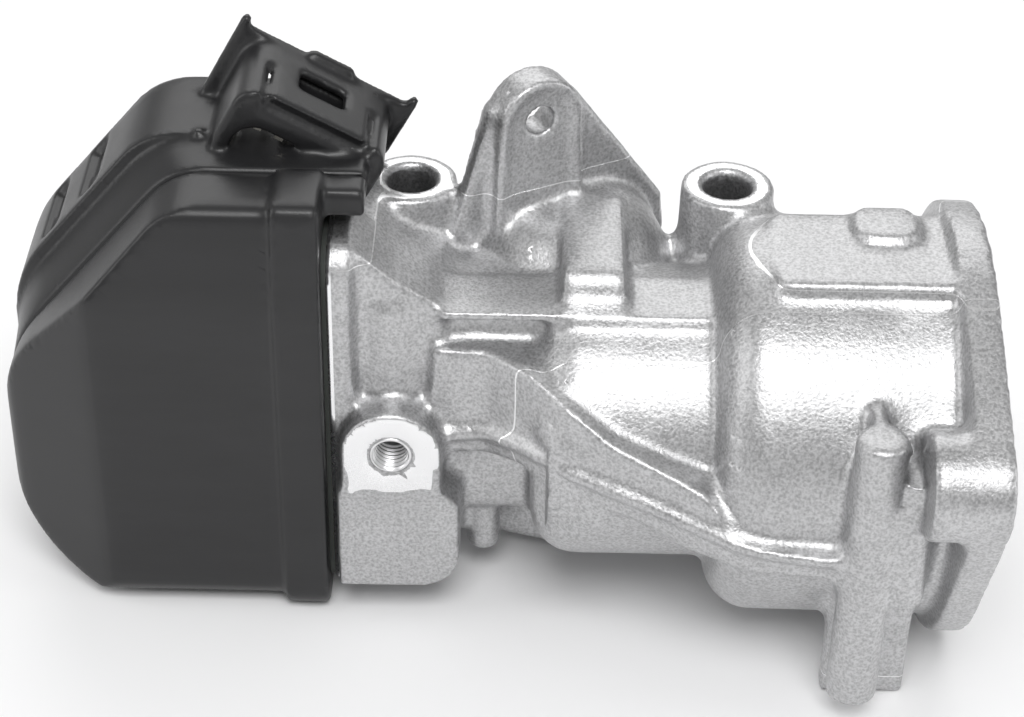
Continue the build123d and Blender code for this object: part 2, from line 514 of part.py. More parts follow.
with BuildPart() as gear_cover:
    add(COVER_GROWN)
    with Locations((HOUSING_X - BAND_WIDTH / 2, 0, (COVER_TOP_Z + COVER_BOTTOM_Z) / 2)):
        Box(BAND_WIDTH, 60, 120, mode=Mode.INTERSECT)
    with Locations((HOUSING_X - BAND_WIDTH / 2, (COVER_REAR_Y - 20) / 2, 0)):
        Box(BAND_WIDTH + 2, COVER_REAR_Y + 20, 120, mode=Mode.INTERSECT)
    add(COVER_OUTER)
    # lobe over the joint, its lower part cut back to the skirt
    with BuildSketch(Plane.XY.offset(LOBE_Z0)):
        with Locations(((HOUSING_X + LOBE_X1) / 2 - 1, (LOBE_Y0 + COVER_REAR_Y) / 2)):
            Rectangle(LOBE_X1 - HOUSING_X + 2, COVER_REAR_Y - LOBE_Y0)
    extrude(amount=COVER_TOP_Z - LOBE_Z0)
    # cavity, kept clear of the end wall, with the window to the valve body
    with BuildPart(mode=Mode.PRIVATE) as cavity:
        add(COVER_INNER)
        with Locations((HOUSING_X - WALL + 30, 0, 0)):
            Box(60, 60, 120, mode=Mode.SUBTRACT)
    add(cavity.part, mode=Mode.SUBTRACT)
    with BuildSketch(Plane.YZ.offset(HOUSING_X)):
        with Locations(((WINDOW_Y0 + COVER_REAR_Y + 5) / 2, (WINDOW_Z0 + WINDOW_Z1) / 2)):
            Rectangle(COVER_REAR_Y + 5 - WINDOW_Y0, WINDOW_Z1 - WINDOW_Z0)
    extrude(amount=-WALL, mode=Mode.SUBTRACT)
    # bosses for the crank bush and the idler axle
    with BuildSketch(facing(WHEEL_Y0 - 0.3)):
        with Locations((CRANK_X, CRANK_Z), (IDLER_X, IDLER_Z)):
            Circle(5)
    extrude(amount=1.5)
    # narrow slot in the top face, running in from the lobe
    with BuildSketch(Plane.XY.offset(COVER_TOP_Z)):
        with BuildLine():
            Polyline((-119, LOBE_Y0), (LOBE_X1, LOBE_Y0 + 0.7), (LOBE_X1, LOBE_Y0 - 0.5), (-117, LOBE_Y0 - 0.5), close=True)
        make_face()
    extrude(amount=-1.0, mode=Mode.SUBTRACT)
    # seats for the bush and the axle
    with BuildSketch(facing(COVER_FRONT_Y + BUSH_SEAT)):
        with Locations((CRANK_X, CRANK_Z)):
            Circle(OUTPUT_SHAFT_R + BUSH_WALL)
        with Locations((IDLER_X, IDLER_Z)):
            Circle(AXLE_R)
    extrude(amount=-4, mode=Mode.SUBTRACT)
gear_cover.part.label = "gear_cover"
export_step(gear_cover.part, "parts/gear_cover.step")

with BuildPart() as cover_seal:
    with BuildSketch(facing(SEAM_Y)):
        add(cover_outline(0.5))
        add(cover_outline(WALL - 0.4), mode=Mode.SUBTRACT)
        with Locations((HOUSING_X, (WINDOW_Z0 + WINDOW_Z1) / 2)):
            Rectangle(4 * WALL, WINDOW_Z1 - WINDOW_Z0, mode=Mode.SUBTRACT)
    extrude(amount=SEAM_SEAL_T)
cover_seal.part.label = "cover_seal"
export_step(cover_seal.part, "parts/cover_seal.step")


def plug_box(y0, y1, width, top, bottom, corner):
    """A block of the connector between two places along Y, square to its tilted section."""
    with BuildPart() as block:
        with BuildSketch(plug_plane(y1)):
            with Locations((0, (top + bottom) / 2)):
                if corner > 0:
                    RectangleRounded(width, top - bottom, corner)
                else:
                    Rectangle(width, top - bottom)
        extrude(amount=y1 - y0)
    return block.part


with BuildPart() as motor_housing:
    with BuildSketch(facing(HOUSING_REAR_Y)):
        add(housing_outline(0))
    extrude(amount=HOUSING_REAR_Y - GROOVE_Y0 - GROOVE_WIDTH)
    fillet(faces().sort_by(Axis.Y)[-1].edges().filter_by_position(Axis.X, HOUSING_LEFT_X - 1, HOUSING_X - 1), 3)
    with BuildSketch(facing(GROOVE_Y0 + GROOVE_WIDTH)):
        add(cover_outline(GROOVE_DEPTH))
    extrude(amount=GROOVE_WIDTH)
    with BuildSketch(facing(GROOVE_Y0)):
        add(cover_outline(0))
    extrude(amount=GROOVE_Y0 - SEAM_Y)
    # lobe over the joint flange
    with BuildSketch(Plane.XY.offset(LOBE_Z0)):
        with Locations(((HOUSING_X + LOBE_X1) / 2 - 1, (SEAM_Y + LOBE_Y1) / 2)):
            Rectangle(LOBE_X1 - HOUSING_X + 2, LOBE_Y1 - SEAM_Y)
    extrude(amount=COVER_TOP_Z - LOBE_Z0)
    # front cavity, bulkhead, motor cavity
    with BuildPart(mode=Mode.PRIVATE) as chambers:
        with BuildSketch(facing(BULKHEAD_Y0)):
            add(cover_outline(WALL))
        extrude(amount=BULKHEAD_Y0 - SEAM_Y)
        with BuildSketch(facing(HOUSING_REAR_Y - WALL)):
            add(housing_outline(WALL))
        extrude(amount=HOUSING_REAR_Y - WALL - BULKHEAD_Y1)
    add(chambers.part, mode=Mode.SUBTRACT)
    # windows in the end wall at the joint, before and behind the bulkhead
    with BuildSketch(Plane.YZ.offset(HOUSING_X)):
        for y0, y1 in ((SEAM_Y - 1, BULKHEAD_Y0), (BULKHEAD_Y1, WINDOW_Y1)):
            with Locations(((y0 + y1) / 2, (WINDOW_Z0 + WINDOW_Z1) / 2)):
                Rectangle(y1 - y0, WINDOW_Z1 - WINDOW_Z0)
    extrude(amount=-WALL, mode=Mode.SUBTRACT)
    # bosses for the joint screws and posts for the sensor board
    with BuildSketch(Plane.YZ.offset(HOUSING_X)):
        with Locations(*SCREW_PLACES):
            Circle(SCREW_BOSS_R)
    extrude(amount=-SCREW_BOSS_LENGTH)
    with BuildSketch(facing(BOARD_Y0)):
        with Locations((CRANK_X, CRANK_Z - 4)):
            with GridLocations(BOARD_WIDTH - 6, BOARD_HEIGHT - 6, 2, 2):
                Circle(2)
    extrude(amount=BOARD_Y0 - BULKHEAD_Y1)
    with BuildSketch(Plane.YZ.offset(HOUSING_X)):
        with Locations(*SCREW_PLACES):
            Circle(SCREW_R)
    extrude(amount=-SCREW_BOSS_LENGTH, mode=Mode.SUBTRACT)
    # floor of the pocket in front of the connector
    with Locations(((POCKET_X0 - 1 + HOUSING_X) / 2, (SEAM_Y + BULKHEAD_Y1) / 2, POCKET_Z + 1)):
        Box(HOUSING_X - POCKET_X0 + 1, BULKHEAD_Y1 - SEAM_Y, 6)
    # connector shell, collar and its corner nubs
    add(plug_box(PLUG_FRONT_Y, PLUG_MOUTH_Y - COLLAR_T, PLUG_WIDTH, 0, -PLUG_HEIGHT, PLUG_ROUND))
    add(plug_box(PLUG_MOUTH_Y - COLLAR_T, PLUG_MOUTH_Y, COLLAR_WIDTH, 0.4, -PLUG_HEIGHT, 0))
    # the shell is cut back over the joint flange and over the bolt boss
    with Locations((HOUSING_X, HOUSING_REAR_Y - 14, JOINT_Z1 + TRIM_GAP)):
        Box(
            JOINT_FLANGE_T + GASKET_T + TRIM_GAP, 40, 60,
            align=(Align.MIN, Align.CENTER, Align.MAX), mode=Mode.SUBTRACT,
        )
    with Locations((HOUSING_X, HOUSING_REAR_Y - 14, BOSS_TOP_Z + 2 * TRIM_GAP)):
        Box(40, 40, 60, align=(Align.MIN, Align.CENTER, Align.MAX), mode=Mode.SUBTRACT)
    with BuildSketch(plug_plane(PLUG_MOUTH_Y)):
        with Locations((-COLLAR_WIDTH / 2 + 0.8, 1), (COLLAR_WIDTH / 2 - 0.8, 1)):
            RectangleRounded(1.6, 2.4, 0.7)
        with Locations((0.5, 0.8)):
            Rectangle(8.4, 1.6)
    extrude(amount=COLLAR_T)
    # connector cavity, keyed at its lower corner, and latch window
    with BuildPart(mode=Mode.PRIVATE) as plug_cavity:
        add(
            plug_box(
                PLUG_FRONT_Y + PLUG_BACK_WALL, PLUG_MOUTH_Y + 1, PLUG_WIDTH - 2 * PLUG_WALL,
                -PLUG_WALL, -PLUG_WALL - PLUG_CAVITY_HEIGHT, 2.5,
            )
        )
        with Locations((PLUG_X, PLUG_MOUTH_Y, JOINT_Z1 + TRIM_GAP + PLUG_WALL)):
            Box(60, 60, 40, align=(Align.CENTER, Align.CENTER, Align.MAX), mode=Mode.SUBTRACT)
    add(plug_cavity.part, mode=Mode.SUBTRACT)
    add(plug_box(LATCH_Y0, LATCH_Y1, LATCH_WIDTH, 1, -PLUG_WALL - 1, 0), mode=Mode.SUBTRACT)
    # guide grooves beside the latch and the undercut before it
    for x in (-9.6, 9.4):
        with BuildSketch(plug_plane(19)):
            with Locations((x, 0)):
                Rectangle(1.5, 2.2)
        extrude(amount=12, mode=Mode.SUBTRACT)
    with BuildSketch(plug_plane(PLUG_FRONT_Y + 1.4)):
        with Locations((0, -1.8)):
            Rectangle(2 * 9.5, 2.0)
    extrude(amount=2, mode=Mode.SUBTRACT)
    # arched pocket under the connector's front face
    with BuildSketch(facing(POCKET_Y1)):
        with BuildLine():
            path = FilletPolyline(
                (POCKET_X0, POCKET_Z), (-122, 50.5), (POCKET_X1, 42), (POCKET_X1, POCKET_Z), radius=[4, 1]
            )
            Line(path @ 1, path @ 0)
        make_face()
    extrude(amount=POCKET_Y1 - SEAM_Y, mode=Mode.SUBTRACT)
    # seats for the bush, the axle, the motor shaft and the five pins
    with BuildSketch(facing(BULKHEAD_Y1)):
        with Locations((CRANK_X, CRANK_Z)):
            Circle(OUTPUT_SHAFT_R + BUSH_WALL)
        with Locations((MOTOR_X, MOTOR_Z)):
            Circle(MOTOR_SHAFT_R + BUSH_WALL)
    extrude(amount=BULKHEAD_T, mode=Mode.SUBTRACT)
    with BuildSketch(facing(BULKHEAD_Y0 + 2.5)):
        with Locations((IDLER_X, IDLER_Z)):
            Circle(AXLE_R)
    extrude(amount=4, mode=Mode.SUBTRACT)
    with BuildSketch(plug_plane(PLUG_FRONT_Y + PLUG_BACK_WALL)):
        with Locations((0, -PLUG_WALL - PLUG_CAVITY_HEIGHT / 2)):
            with GridLocations(PIN_PITCH, 1, PIN_COUNT, 1):
                Rectangle(PIN_WIDTH, PIN_T)
    extrude(amount=PLUG_BACK_WALL - 1.2, mode=Mode.SUBTRACT)
motor_housing.part.label = "motor_housing"
export_step(motor_housing.part, "parts/motor_housing.step")

with BuildPart() as connector_pins:
    with BuildSketch(plug_plane(PLUG_FRONT_Y + 1.2 + PIN_LENGTH)):
        with Locations((0, -PLUG_WALL - PLUG_CAVITY_HEIGHT / 2)):
            with GridLocations(PIN_PITCH, 1, PIN_COUNT, 1):
                Rectangle(PIN_WIDTH, PIN_T)
    extrude(amount=PIN_LENGTH)
connector_pins.part.label = "connector_pins"
export_step(connector_pins.part, "parts/connector_pins.step")

# ---------------------------------------------------------------- motor
with BuildPart() as motor_can:
    with BuildSketch(facing(MOTOR_Y0 + MOTOR_LENGTH)):
        with Locations((MOTOR_X, MOTOR_Z)):
            Circle(MOTOR_R)
    extrude(amount=MOTOR_LENGTH)
    with BuildSketch(facing(MOTOR_Y0 + MOTOR_LENGTH)):
        with Locations((MOTOR_X, MOTOR_Z)):
            Circle(MOTOR_R - MOTOR_CAN_WALL)
    extrude(amount=MOTOR_LENGTH - MOTOR_CAN_WALL, mode=Mode.SUBTRACT)
    with BuildSketch(facing(MOTOR_Y0 + MOTOR_LENGTH)):
        with Locations((MOTOR_X, MOTOR_Z)):
            Circle(MOTOR_SHAFT_R + RUNNING)
    extrude(amount=MOTOR_LENGTH, mode=Mode.SUBTRACT)
motor_can.part.label = "motor_can"
export_step(motor_can.part, "parts/motor_can.step")

with BuildPart() as motor_magnets:
    with BuildSketch(facing(MOTOR_Y0 + MOTOR_CAN_WALL + 1 + ARMATURE_LENGTH)):
        with Locations((MOTOR_X, MOTOR_Z)):
            Circle(MOTOR_R - MOTOR_CAN_WALL)
            Circle(MOTOR_R - MOTOR_CAN_WALL - MAGNET_T, mode=Mode.SUBTRACT)
            Rectangle(2 * MOTOR_R, 6, mode=Mode.SUBTRACT)
    extrude(amount=ARMATURE_LENGTH)
motor_magnets.part.label = "motor_magnets"
export_step(motor_magnets.part, "parts/motor_magnets.step")

with BuildPart() as motor_end_plate:
    with BuildSketch(facing(MOTOR_Y0 + MOTOR_LENGTH)):
        with Locations((MOTOR_X, MOTOR_Z)):
            Circle(MOTOR_R - MOTOR_CAN_WALL)
            Circle(MOTOR_SHAFT_R + RUNNING, mode=Mode.SUBTRACT)
    extrude(amount=2)
motor_end_plate.part.label = "motor_end_plate"
export_step(motor_end_plate.part, "parts/motor_end_plate.step")

with BuildPart() as motor_shaft:
    with BuildSketch(facing(MOTOR_Y0 + MOTOR_LENGTH)):
        with Locations((MOTOR_X, MOTOR_Z)):
            Circle(MOTOR_SHAFT_R)
    extrude(amount=MOTOR_Y0 + MOTOR_LENGTH - WHEEL_Y0 + 0.1)
motor_shaft.part.label = "motor_shaft"
export_step(motor_shaft.part, "parts/motor_shaft.step")

with BuildPart() as armature:
    armature_r = MOTOR_R - MOTOR_CAN_WALL - MAGNET_T - AIR_GAP
    with BuildSketch(facing(MOTOR_Y0 + MOTOR_CAN_WALL + 1 + ARMATURE_LENGTH)):
        with Locations((MOTOR_X, MOTOR_Z)):
            Circle(armature_r)
            Circle(MOTOR_SHAFT_R, mode=Mode.SUBTRACT)
            with PolarLocations(armature_r, 5):
                Rectangle(3, 1.2, mode=Mode.SUBTRACT)
    extrude(amount=ARMATURE_LENGTH)
armature.part.label = "armature"
export_step(armature.part, "parts/armature.step")

with BuildPart() as commutator:
    with BuildSketch(facing(MOTOR_Y0 + MOTOR_LENGTH - 2.4)):
        with Locations((MOTOR_X, MOTOR_Z)):
            Circle(2.6)
            Circle(MOTOR_SHAFT_R, mode=Mode.SUBTRACT)
    extrude(amount=3)
commutator.part.label = "commutator"
export_step(commutator.part, "parts/commutator.step")

# ---------------------------------------------------------------- gear train
with BuildPart() as motor_pinion:
    with BuildSketch(facing(WHEEL_Y0 + WHEEL_T)):
        with Locations((MOTOR_X, MOTOR_Z)):
            add(gear_outline(WHEEL_MODULE, MOTOR_PINION_TEETH, MOTOR_ANGLE + 180 + 180 / MOTOR_PINION_TEETH))
            Circle(MOTOR_SHAFT_R, mode=Mode.SUBTRACT)
    extrude(amount=WHEEL_T)
motor_pinion.part.label = "motor_pinion"
export_step(motor_pinion.part, "parts/motor_pinion.step")

with BuildPart() as idler_axle:
    with BuildSketch(facing(BULKHEAD_Y0 + 2.5)):
        with Locations((IDLER_X, IDLER_Z)):
            Circle(AXLE_R)
    extrude(amount=BULKHEAD_Y0 + 2.5 - COVER_FRONT_Y - BUSH_SEAT)
idler_axle.part.label = "idler_axle"
export_step(idler_axle.part, "parts/idler_axle.step")

with BuildPart() as idler_gear:
    with BuildSketch(facing(WHEEL_Y0 + WHEEL_T)):
        with Locations((IDLER_X, IDLER_Z)):
            add(gear_outline(WHEEL_MODULE, WHEEL_TEETH, MOTOR_ANGLE))
    extrude(amount=WHEEL_T)
    with BuildSketch(facing(GEAR_Y0 + GEAR_T + 0.2)):
        with Locations((IDLER_X, IDLER_Z)):
            add(gear_outline(OUTPUT_MODULE, IDLER_PINION_TEETH, IDLER_ANGLE + 180 + 180 / IDLER_PINION_TEETH))
    extrude(amount=GEAR_Y0 + GEAR_T + 0.2 - WHEEL_Y0 - WHEEL_T)
    with BuildSketch(facing(BULKHEAD_Y0 - 0.2)):
        with Locations((IDLER_X, IDLER_Z)):
            Circle(2.6)
    extrude(amount=BULKHEAD_Y0 - 0.2 - GEAR_Y0 - GEAR_T - 0.2)
    with BuildSketch(facing(BULKHEAD_Y0)):
        with Locations((IDLER_X, IDLER_Z)):
            Circle(AXLE_R + RUNNING)
    extrude(amount=30, mode=Mode.SUBTRACT)
idler_gear.part.label = "idler_gear"
export_step(idler_gear.part, "parts/idler_gear.step")

with BuildSketch() as sector_outline:
    Circle(SECTOR_HUB_R)
    with BuildLine():
        rim = CenterArc((0, 0), OUTPUT_PITCH_R + 3, SECTOR_START, SECTOR_SWEEP)
        Polyline(rim @ 1, (0, 0), rim @ 0)
    make_face()
    add(gear_outline(OUTPUT_MODULE, OUTPUT_TEETH, IDLER_ANGLE), mode=Mode.INTERSECT)

with BuildPart() as output_gear:
    with BuildSketch(facing(GEAR_Y0 + GEAR_T)):
        with Locations((CRANK_X, CRANK_Z)):
            add(sector_outline.sketch)
            Circle(OUTPUT_SHAFT_R, mode=Mode.SUBTRACT)
        with Locations((PIN_X, PIN_Z)):
            Circle(CRANK_PIN_R, mode=Mode.SUBTRACT)
    extrude(amount=GEAR_T)
output_gear.part.label = "output_gear"
export_step(output_gear.part, "parts/output_gear.step")

with BuildPart() as crank_pin:
    with BuildSketch(facing(YOKE_Y0 + YOKE_T)):
        with Locations((PIN_X, PIN_Z)):
            Circle(CRANK_PIN_R)
    extrude(amount=YOKE_Y0 + YOKE_T - GEAR_Y0)
crank_pin.part.label = "crank_pin"
export_step(crank_pin.part, "parts/crank_pin.step")

with BuildPart() as output_shaft:
    with BuildSketch(facing(BULKHEAD_Y1 + SHAFT_TAIL)):
        with Locations((CRANK_X, CRANK_Z)):
            Circle(OUTPUT_SHAFT_R)
    extrude(amount=BULKHEAD_Y1 + SHAFT_TAIL - COVER_FRONT_Y - BUSH_SEAT)
output_shaft.part.label = "output_shaft"
export_step(output_shaft.part, "parts/output_shaft.step")

with BuildPart() as sensor_magnet:
    with BuildSketch(facing(BULKHEAD_Y1 + SHAFT_TAIL + MAGNET_LENGTH)):
        with Locations((CRANK_X, CRANK_Z)):
            Circle(OUTPUT_SHAFT_R + 1)
    extrude(amount=MAGNET_LENGTH)
sensor_magnet.part.label = "sensor_magnet"
export_step(sensor_magnet.part, "parts/sensor_magnet.step")

for name, near_y, far_y in (
    ("output_bush_front", COVER_FRONT_Y + BUSH_SEAT, WHEEL_Y0 - 0.3),
    ("output_bush_rear", BULKHEAD_Y0, BULKHEAD_Y1),
):
    with BuildPart() as output_bush:
        with BuildSketch(facing(far_y)):
            with Locations((CRANK_X, CRANK_Z)):
                Circle(OUTPUT_SHAFT_R + BUSH_WALL)
                Circle(OUTPUT_SHAFT_R + RUNNING, mode=Mode.SUBTRACT)
        extrude(amount=far_y - near_y)
    output_bush.part.label = name
    export_step(output_bush.part, f"parts/{name}.step")

with BuildPart() as motor_bush:
    with BuildSketch(facing(BULKHEAD_Y1)):
        with Locations((MOTOR_X, MOTOR_Z)):
            Circle(MOTOR_SHAFT_R + BUSH_WALL)
            Circle(MOTOR_SHAFT_R + RUNNING, mode=Mode.SUBTRACT)
    extrude(amount=BULKHEAD_T)
motor_bush.part.label = "motor_bush"
export_step(motor_bush.part, "parts/motor_bush.step")

# ---------------------------------------------------------------- position sensor
with BuildPart() as sensor_board:
    with BuildSketch(facing(BOARD_Y0 + BOARD_T)):
        with Locations((CRANK_X, CRANK_Z - 4)):
            RectangleRounded(BOARD_WIDTH, BOARD_HEIGHT, 2)
    extrude(amount=BOARD_T)
sensor_board.part.label = "sensor_board"
export_step(sensor_board.part, "parts/sensor_board.step")

with BuildPart() as hall_sensor:
    with BuildSketch(facing(BOARD_Y0)):
        with Locations((CRANK_X, CRANK_Z)):
            Rectangle(5, 4)
    extrude(amount=HALL_T)
hall_sensor.part.label = "hall_sensor"
export_step(hall_sensor.part, "parts/hall_sensor.step")

# ---------------------------------------------------------------- valve, yoke and spring
with BuildPart() as valve_poppet:
    with BuildSketch(Plane.XY):
        with BuildLine():
            back = SEAT_X + SEAT_GAP
            Polyline(
                (back - 1, STEM_R), (back - 1, STEM_R + 4), (back, STEM_R + 6), (back, POPPET_R),
                (back + 1.2, POPPET_R), (back + POPPET_T, POPPET_R - 3), (back + POPPET_T, 0),
                (back + POPPET_T - 0.8, 0), (back + POPPET_T - 0.8, STEM_R), close=True,
            )
        make_face()
    revolve(axis=Axis.X)
valve_poppet.part.label = "valve_poppet"
export_step(valve_poppet.part, "parts/valve_poppet.step")

YOKE_RIGHT_X = PIN_X + CRANK_PIN_R + SLIDING + YOKE_HUB
with BuildPart() as valve_stem:
    with BuildSketch(Plane.YZ.offset(YOKE_RIGHT_X)):
        Circle(STEM_R)
    extrude(amount=SEAT_X + SEAT_GAP + POPPET_T - 0.8 - YOKE_RIGHT_X)
    with BuildSketch(Plane.YZ.offset(YOKE_RIGHT_X)):
        with Locations((YOKE_Y0 + YOKE_T / 2, 0)):
            Circle(TENON_R)
    extrude(amount=-YOKE_HUB)
valve_stem.part.label = "valve_stem"
export_step(valve_stem.part, "parts/valve_stem.step")

with BuildPart() as stem_yoke:
    slot_half = CRANK_PIN_R + SLIDING
    yoke_top = CRANK_Z + CRANK_R + CRANK_PIN_R + SLIDING
    with BuildSketch(facing(YOKE_Y0 + YOKE_T)):
        with BuildLine():
            path = FilletPolyline(
                (PIN_X - slot_half - YOKE_ARM, YOKE_BOTTOM_Z),
                (PIN_X - slot_half - YOKE_ARM, yoke_top + YOKE_ARM),
                (YOKE_RIGHT_X, yoke_top + YOKE_ARM),
                (YOKE_RIGHT_X, YOKE_BOTTOM_Z),
                radius=2,
            )
            Line(path @ 1, path @ 0)
        make_face()
        with BuildLine():
            slot = FilletPolyline(
                (PIN_X - slot_half, YOKE_BOTTOM_Z), (PIN_X - slot_half, yoke_top),
                (PIN_X + slot_half, yoke_top), (PIN_X + slot_half, YOKE_BOTTOM_Z), radius=0.8,
            )
            Line(slot @ 1, slot @ 0)
        make_face(mode=Mode.SUBTRACT)
    extrude(amount=YOKE_T)
    with BuildSketch(Plane.YZ.offset(YOKE_RIGHT_X)):
        with Locations((YOKE_Y0 + YOKE_T / 2, 0)):
            Circle(TENON_R)
    extrude(amount=-YOKE_HUB, mode=Mode.SUBTRACT)
stem_yoke.part.label = "stem_yoke"
export_step(stem_yoke.part, "parts/stem_yoke.step")

with BuildPart() as spring_seat:
    with BuildSketch(Plane.YZ.offset(JOINT_X)):
        Circle(RETAINER_R)
        Circle(STEM_R + 0.4, mode=Mode.SUBTRACT)
    extrude(amount=-RETAINER_T)
spring_seat.part.label = "spring_seat"
export_step(spring_seat.part, "parts/spring_seat.step")

RETAINER_X = JOINT_X - RETAINER_T - SPRING_REST_LENGTH
with BuildPart() as spring_retainer:
    with BuildSketch(Plane.YZ.offset(RETAINER_X)):
        Circle(RETAINER_R)
        Circle(STEM_R, mode=Mode.SUBTRACT)
    extrude(amount=-RETAINER_T)
spring_retainer.part.label = "spring_retainer"
export_step(spring_retainer.part, "parts/spring_retainer.step")

with BuildPart() as return_spring:
    with BuildLine():
        coil_length = SPRING_REST_LENGTH - 2 * SPRING_WIRE_R - 0.2
        coil = Helix(
            coil_length / SPRING_TURNS, coil_length, SPRING_R,
            center=(RETAINER_X + SPRING_WIRE_R + 0.1, 0, 0), direction=(1, 0, 0),
        )
    with BuildSketch(Plane(origin=coil @ 0, z_dir=coil % 0)):
        Circle(SPRING_WIRE_R)
    sweep(is_frenet=True)
return_spring.part.label = "return_spring"
export_step(return_spring.part, "parts/return_spring.step")

# ---------------------------------------------------------------- screws of the joint
with BuildPart() as housing_screws:
    with BuildSketch(Plane.YZ.offset(JOINT_X + JOINT_FLANGE_T)):
        with Locations(*SCREW_PLACES):
            Circle(SCREW_HEAD_R)
            RegularPolygon(SCREW_R, 6, mode=Mode.SUBTRACT)
    extrude(amount=SCREW_HEAD_T)
    with BuildSketch(Plane.YZ.offset(JOINT_X + JOINT_FLANGE_T + 1)):
        with Locations(*SCREW_PLACES):
            Circle(SCREW_R)
    extrude(amount=-SCREW_LENGTH - 1)
housing_screws.part.label = "housing_screws"
export_step(housing_screws.part, "parts/housing_screws.step")
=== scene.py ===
"""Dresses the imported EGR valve: cast skin, moulded housing, machined faces, threads and stage."""
import json
import math
from functools import reduce

import bpy
import numpy as np
import openvdb
from bpy.props import FloatProperty, FloatVectorProperty, PointerProperty
from mathutils import Matrix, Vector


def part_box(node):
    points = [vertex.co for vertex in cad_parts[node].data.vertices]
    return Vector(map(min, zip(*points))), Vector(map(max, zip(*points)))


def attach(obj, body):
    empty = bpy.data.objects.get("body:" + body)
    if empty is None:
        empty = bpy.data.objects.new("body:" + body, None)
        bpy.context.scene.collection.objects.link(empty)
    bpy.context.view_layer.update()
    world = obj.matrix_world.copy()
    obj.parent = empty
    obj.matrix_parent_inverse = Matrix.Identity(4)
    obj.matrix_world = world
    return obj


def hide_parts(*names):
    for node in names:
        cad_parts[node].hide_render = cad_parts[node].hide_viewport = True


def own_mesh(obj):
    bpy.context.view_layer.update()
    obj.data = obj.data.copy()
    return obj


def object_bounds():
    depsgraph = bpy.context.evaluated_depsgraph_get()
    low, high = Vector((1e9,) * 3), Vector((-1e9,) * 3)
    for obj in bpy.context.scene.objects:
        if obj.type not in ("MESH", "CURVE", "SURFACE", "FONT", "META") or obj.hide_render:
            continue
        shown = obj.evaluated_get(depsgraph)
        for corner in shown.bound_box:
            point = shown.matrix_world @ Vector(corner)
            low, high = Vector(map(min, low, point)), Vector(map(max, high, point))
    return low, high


bl_info = {
    "name": "EGR valve",
    "version": (1, 0, 0),
    "blender": (4, 5, 0),
    "location": "View3D > Sidebar > Valve",
    "description": "Finishes the casting, the moulded actuator and the stage of a poppet valve",
    "category": "Object",
}

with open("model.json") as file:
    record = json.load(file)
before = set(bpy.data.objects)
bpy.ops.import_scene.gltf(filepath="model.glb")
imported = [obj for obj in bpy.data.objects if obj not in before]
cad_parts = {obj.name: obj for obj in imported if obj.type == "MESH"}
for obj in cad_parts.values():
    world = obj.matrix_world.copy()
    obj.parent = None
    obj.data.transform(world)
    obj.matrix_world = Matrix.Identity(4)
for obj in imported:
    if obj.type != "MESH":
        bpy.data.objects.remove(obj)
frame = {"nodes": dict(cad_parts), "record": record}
CAD_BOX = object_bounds()
MM = 0.001
FLOOR_Z = CAD_BOX[0][2]
MOUNTS = {mount["name"]: mount for mount in frame["record"]["mounts"]}


def mount(name, size="r_mm"):
    """The place of a mount and one of its sizes, both in metres."""
    entry = MOUNTS[name]
    return np.array(entry["pos_m"]), entry["dims"][size] * MM


PORT, PORT_R = mount("outlet_bore")
SENSOR, SENSOR_R = mount("sensor_thread")
EAR, EAR_HOLE_R = mount("ear_hole")
EAR_AXIS = np.array(MOUNTS["ear_hole"]["axis"])
BOLT_R = mount("fixing_bolts", "hole_r_mm")[1]
BOLT_SPAN = mount("fixing_bolts", "spacing_x_mm")[1]
LUG_R = mount("inlet_lugs", "hole_r_mm")[1]
LUG_Y, LUG_Z = 38.15 * MM, 15.03 * MM
LUGS = [(0, side * LUG_Y, -side * LUG_Z) for side in (-1, 1)]
BOSS_TOP_Z = 33.4 * MM
SENSOR_FACE_Y = -14.4 * MM
SENSOR_MOUTH = (SENSOR[0], SENSOR_FACE_Y, SENSOR[2])
JOINT_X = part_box("valve_body")[0][0]
JOINT_MARGIN = 0.9 * MM  # depth of the machined rim at the joint
FACE_EDGE = 0.1 * MM  # how far from its plane a machined face is still bright
SENSOR_FACE_DROP = 8.2 * MM  # from the threaded hole down to the end of the bright face


# ------------------------------------------------------------------ settings
class CastingSettings(bpy.types.PropertyGroup):
    tone: FloatVectorProperty(
        name="Tone", description="Colour of the shot-blasted casting", subtype="COLOR", size=3,
        min=0, max=1, default=(0.74, 0.74, 0.745),
    )
    machined_tone: FloatVectorProperty(
        name="Machined tone", description="Colour of the faces cut after casting", subtype="COLOR",
        size=3, min=0, max=1, default=(0.90, 0.90, 0.905),
    )
    grain: FloatProperty(
        name="Grain", description="Size of the sandy grain", default=0.42 * MM, unit="LENGTH"
    )
    cell: FloatProperty(
        name="Cell", description="Cell of the cast skin's distance field", default=0.5 * MM,
        unit="LENGTH",
    )
    fillet: FloatProperty(
        name="Fillet", description="Radius of the inner corners", default=1.3 * MM, unit="LENGTH"
    )
    rounding: FloatProperty(
        name="Rounding", description="Radius of the outer edges", default=0.6 * MM, unit="LENGTH"
    )
    ripple: FloatProperty(
        name="Ripple", description="Unevenness of the cast surface", default=0.07 * MM,
        unit="LENGTH",
    )


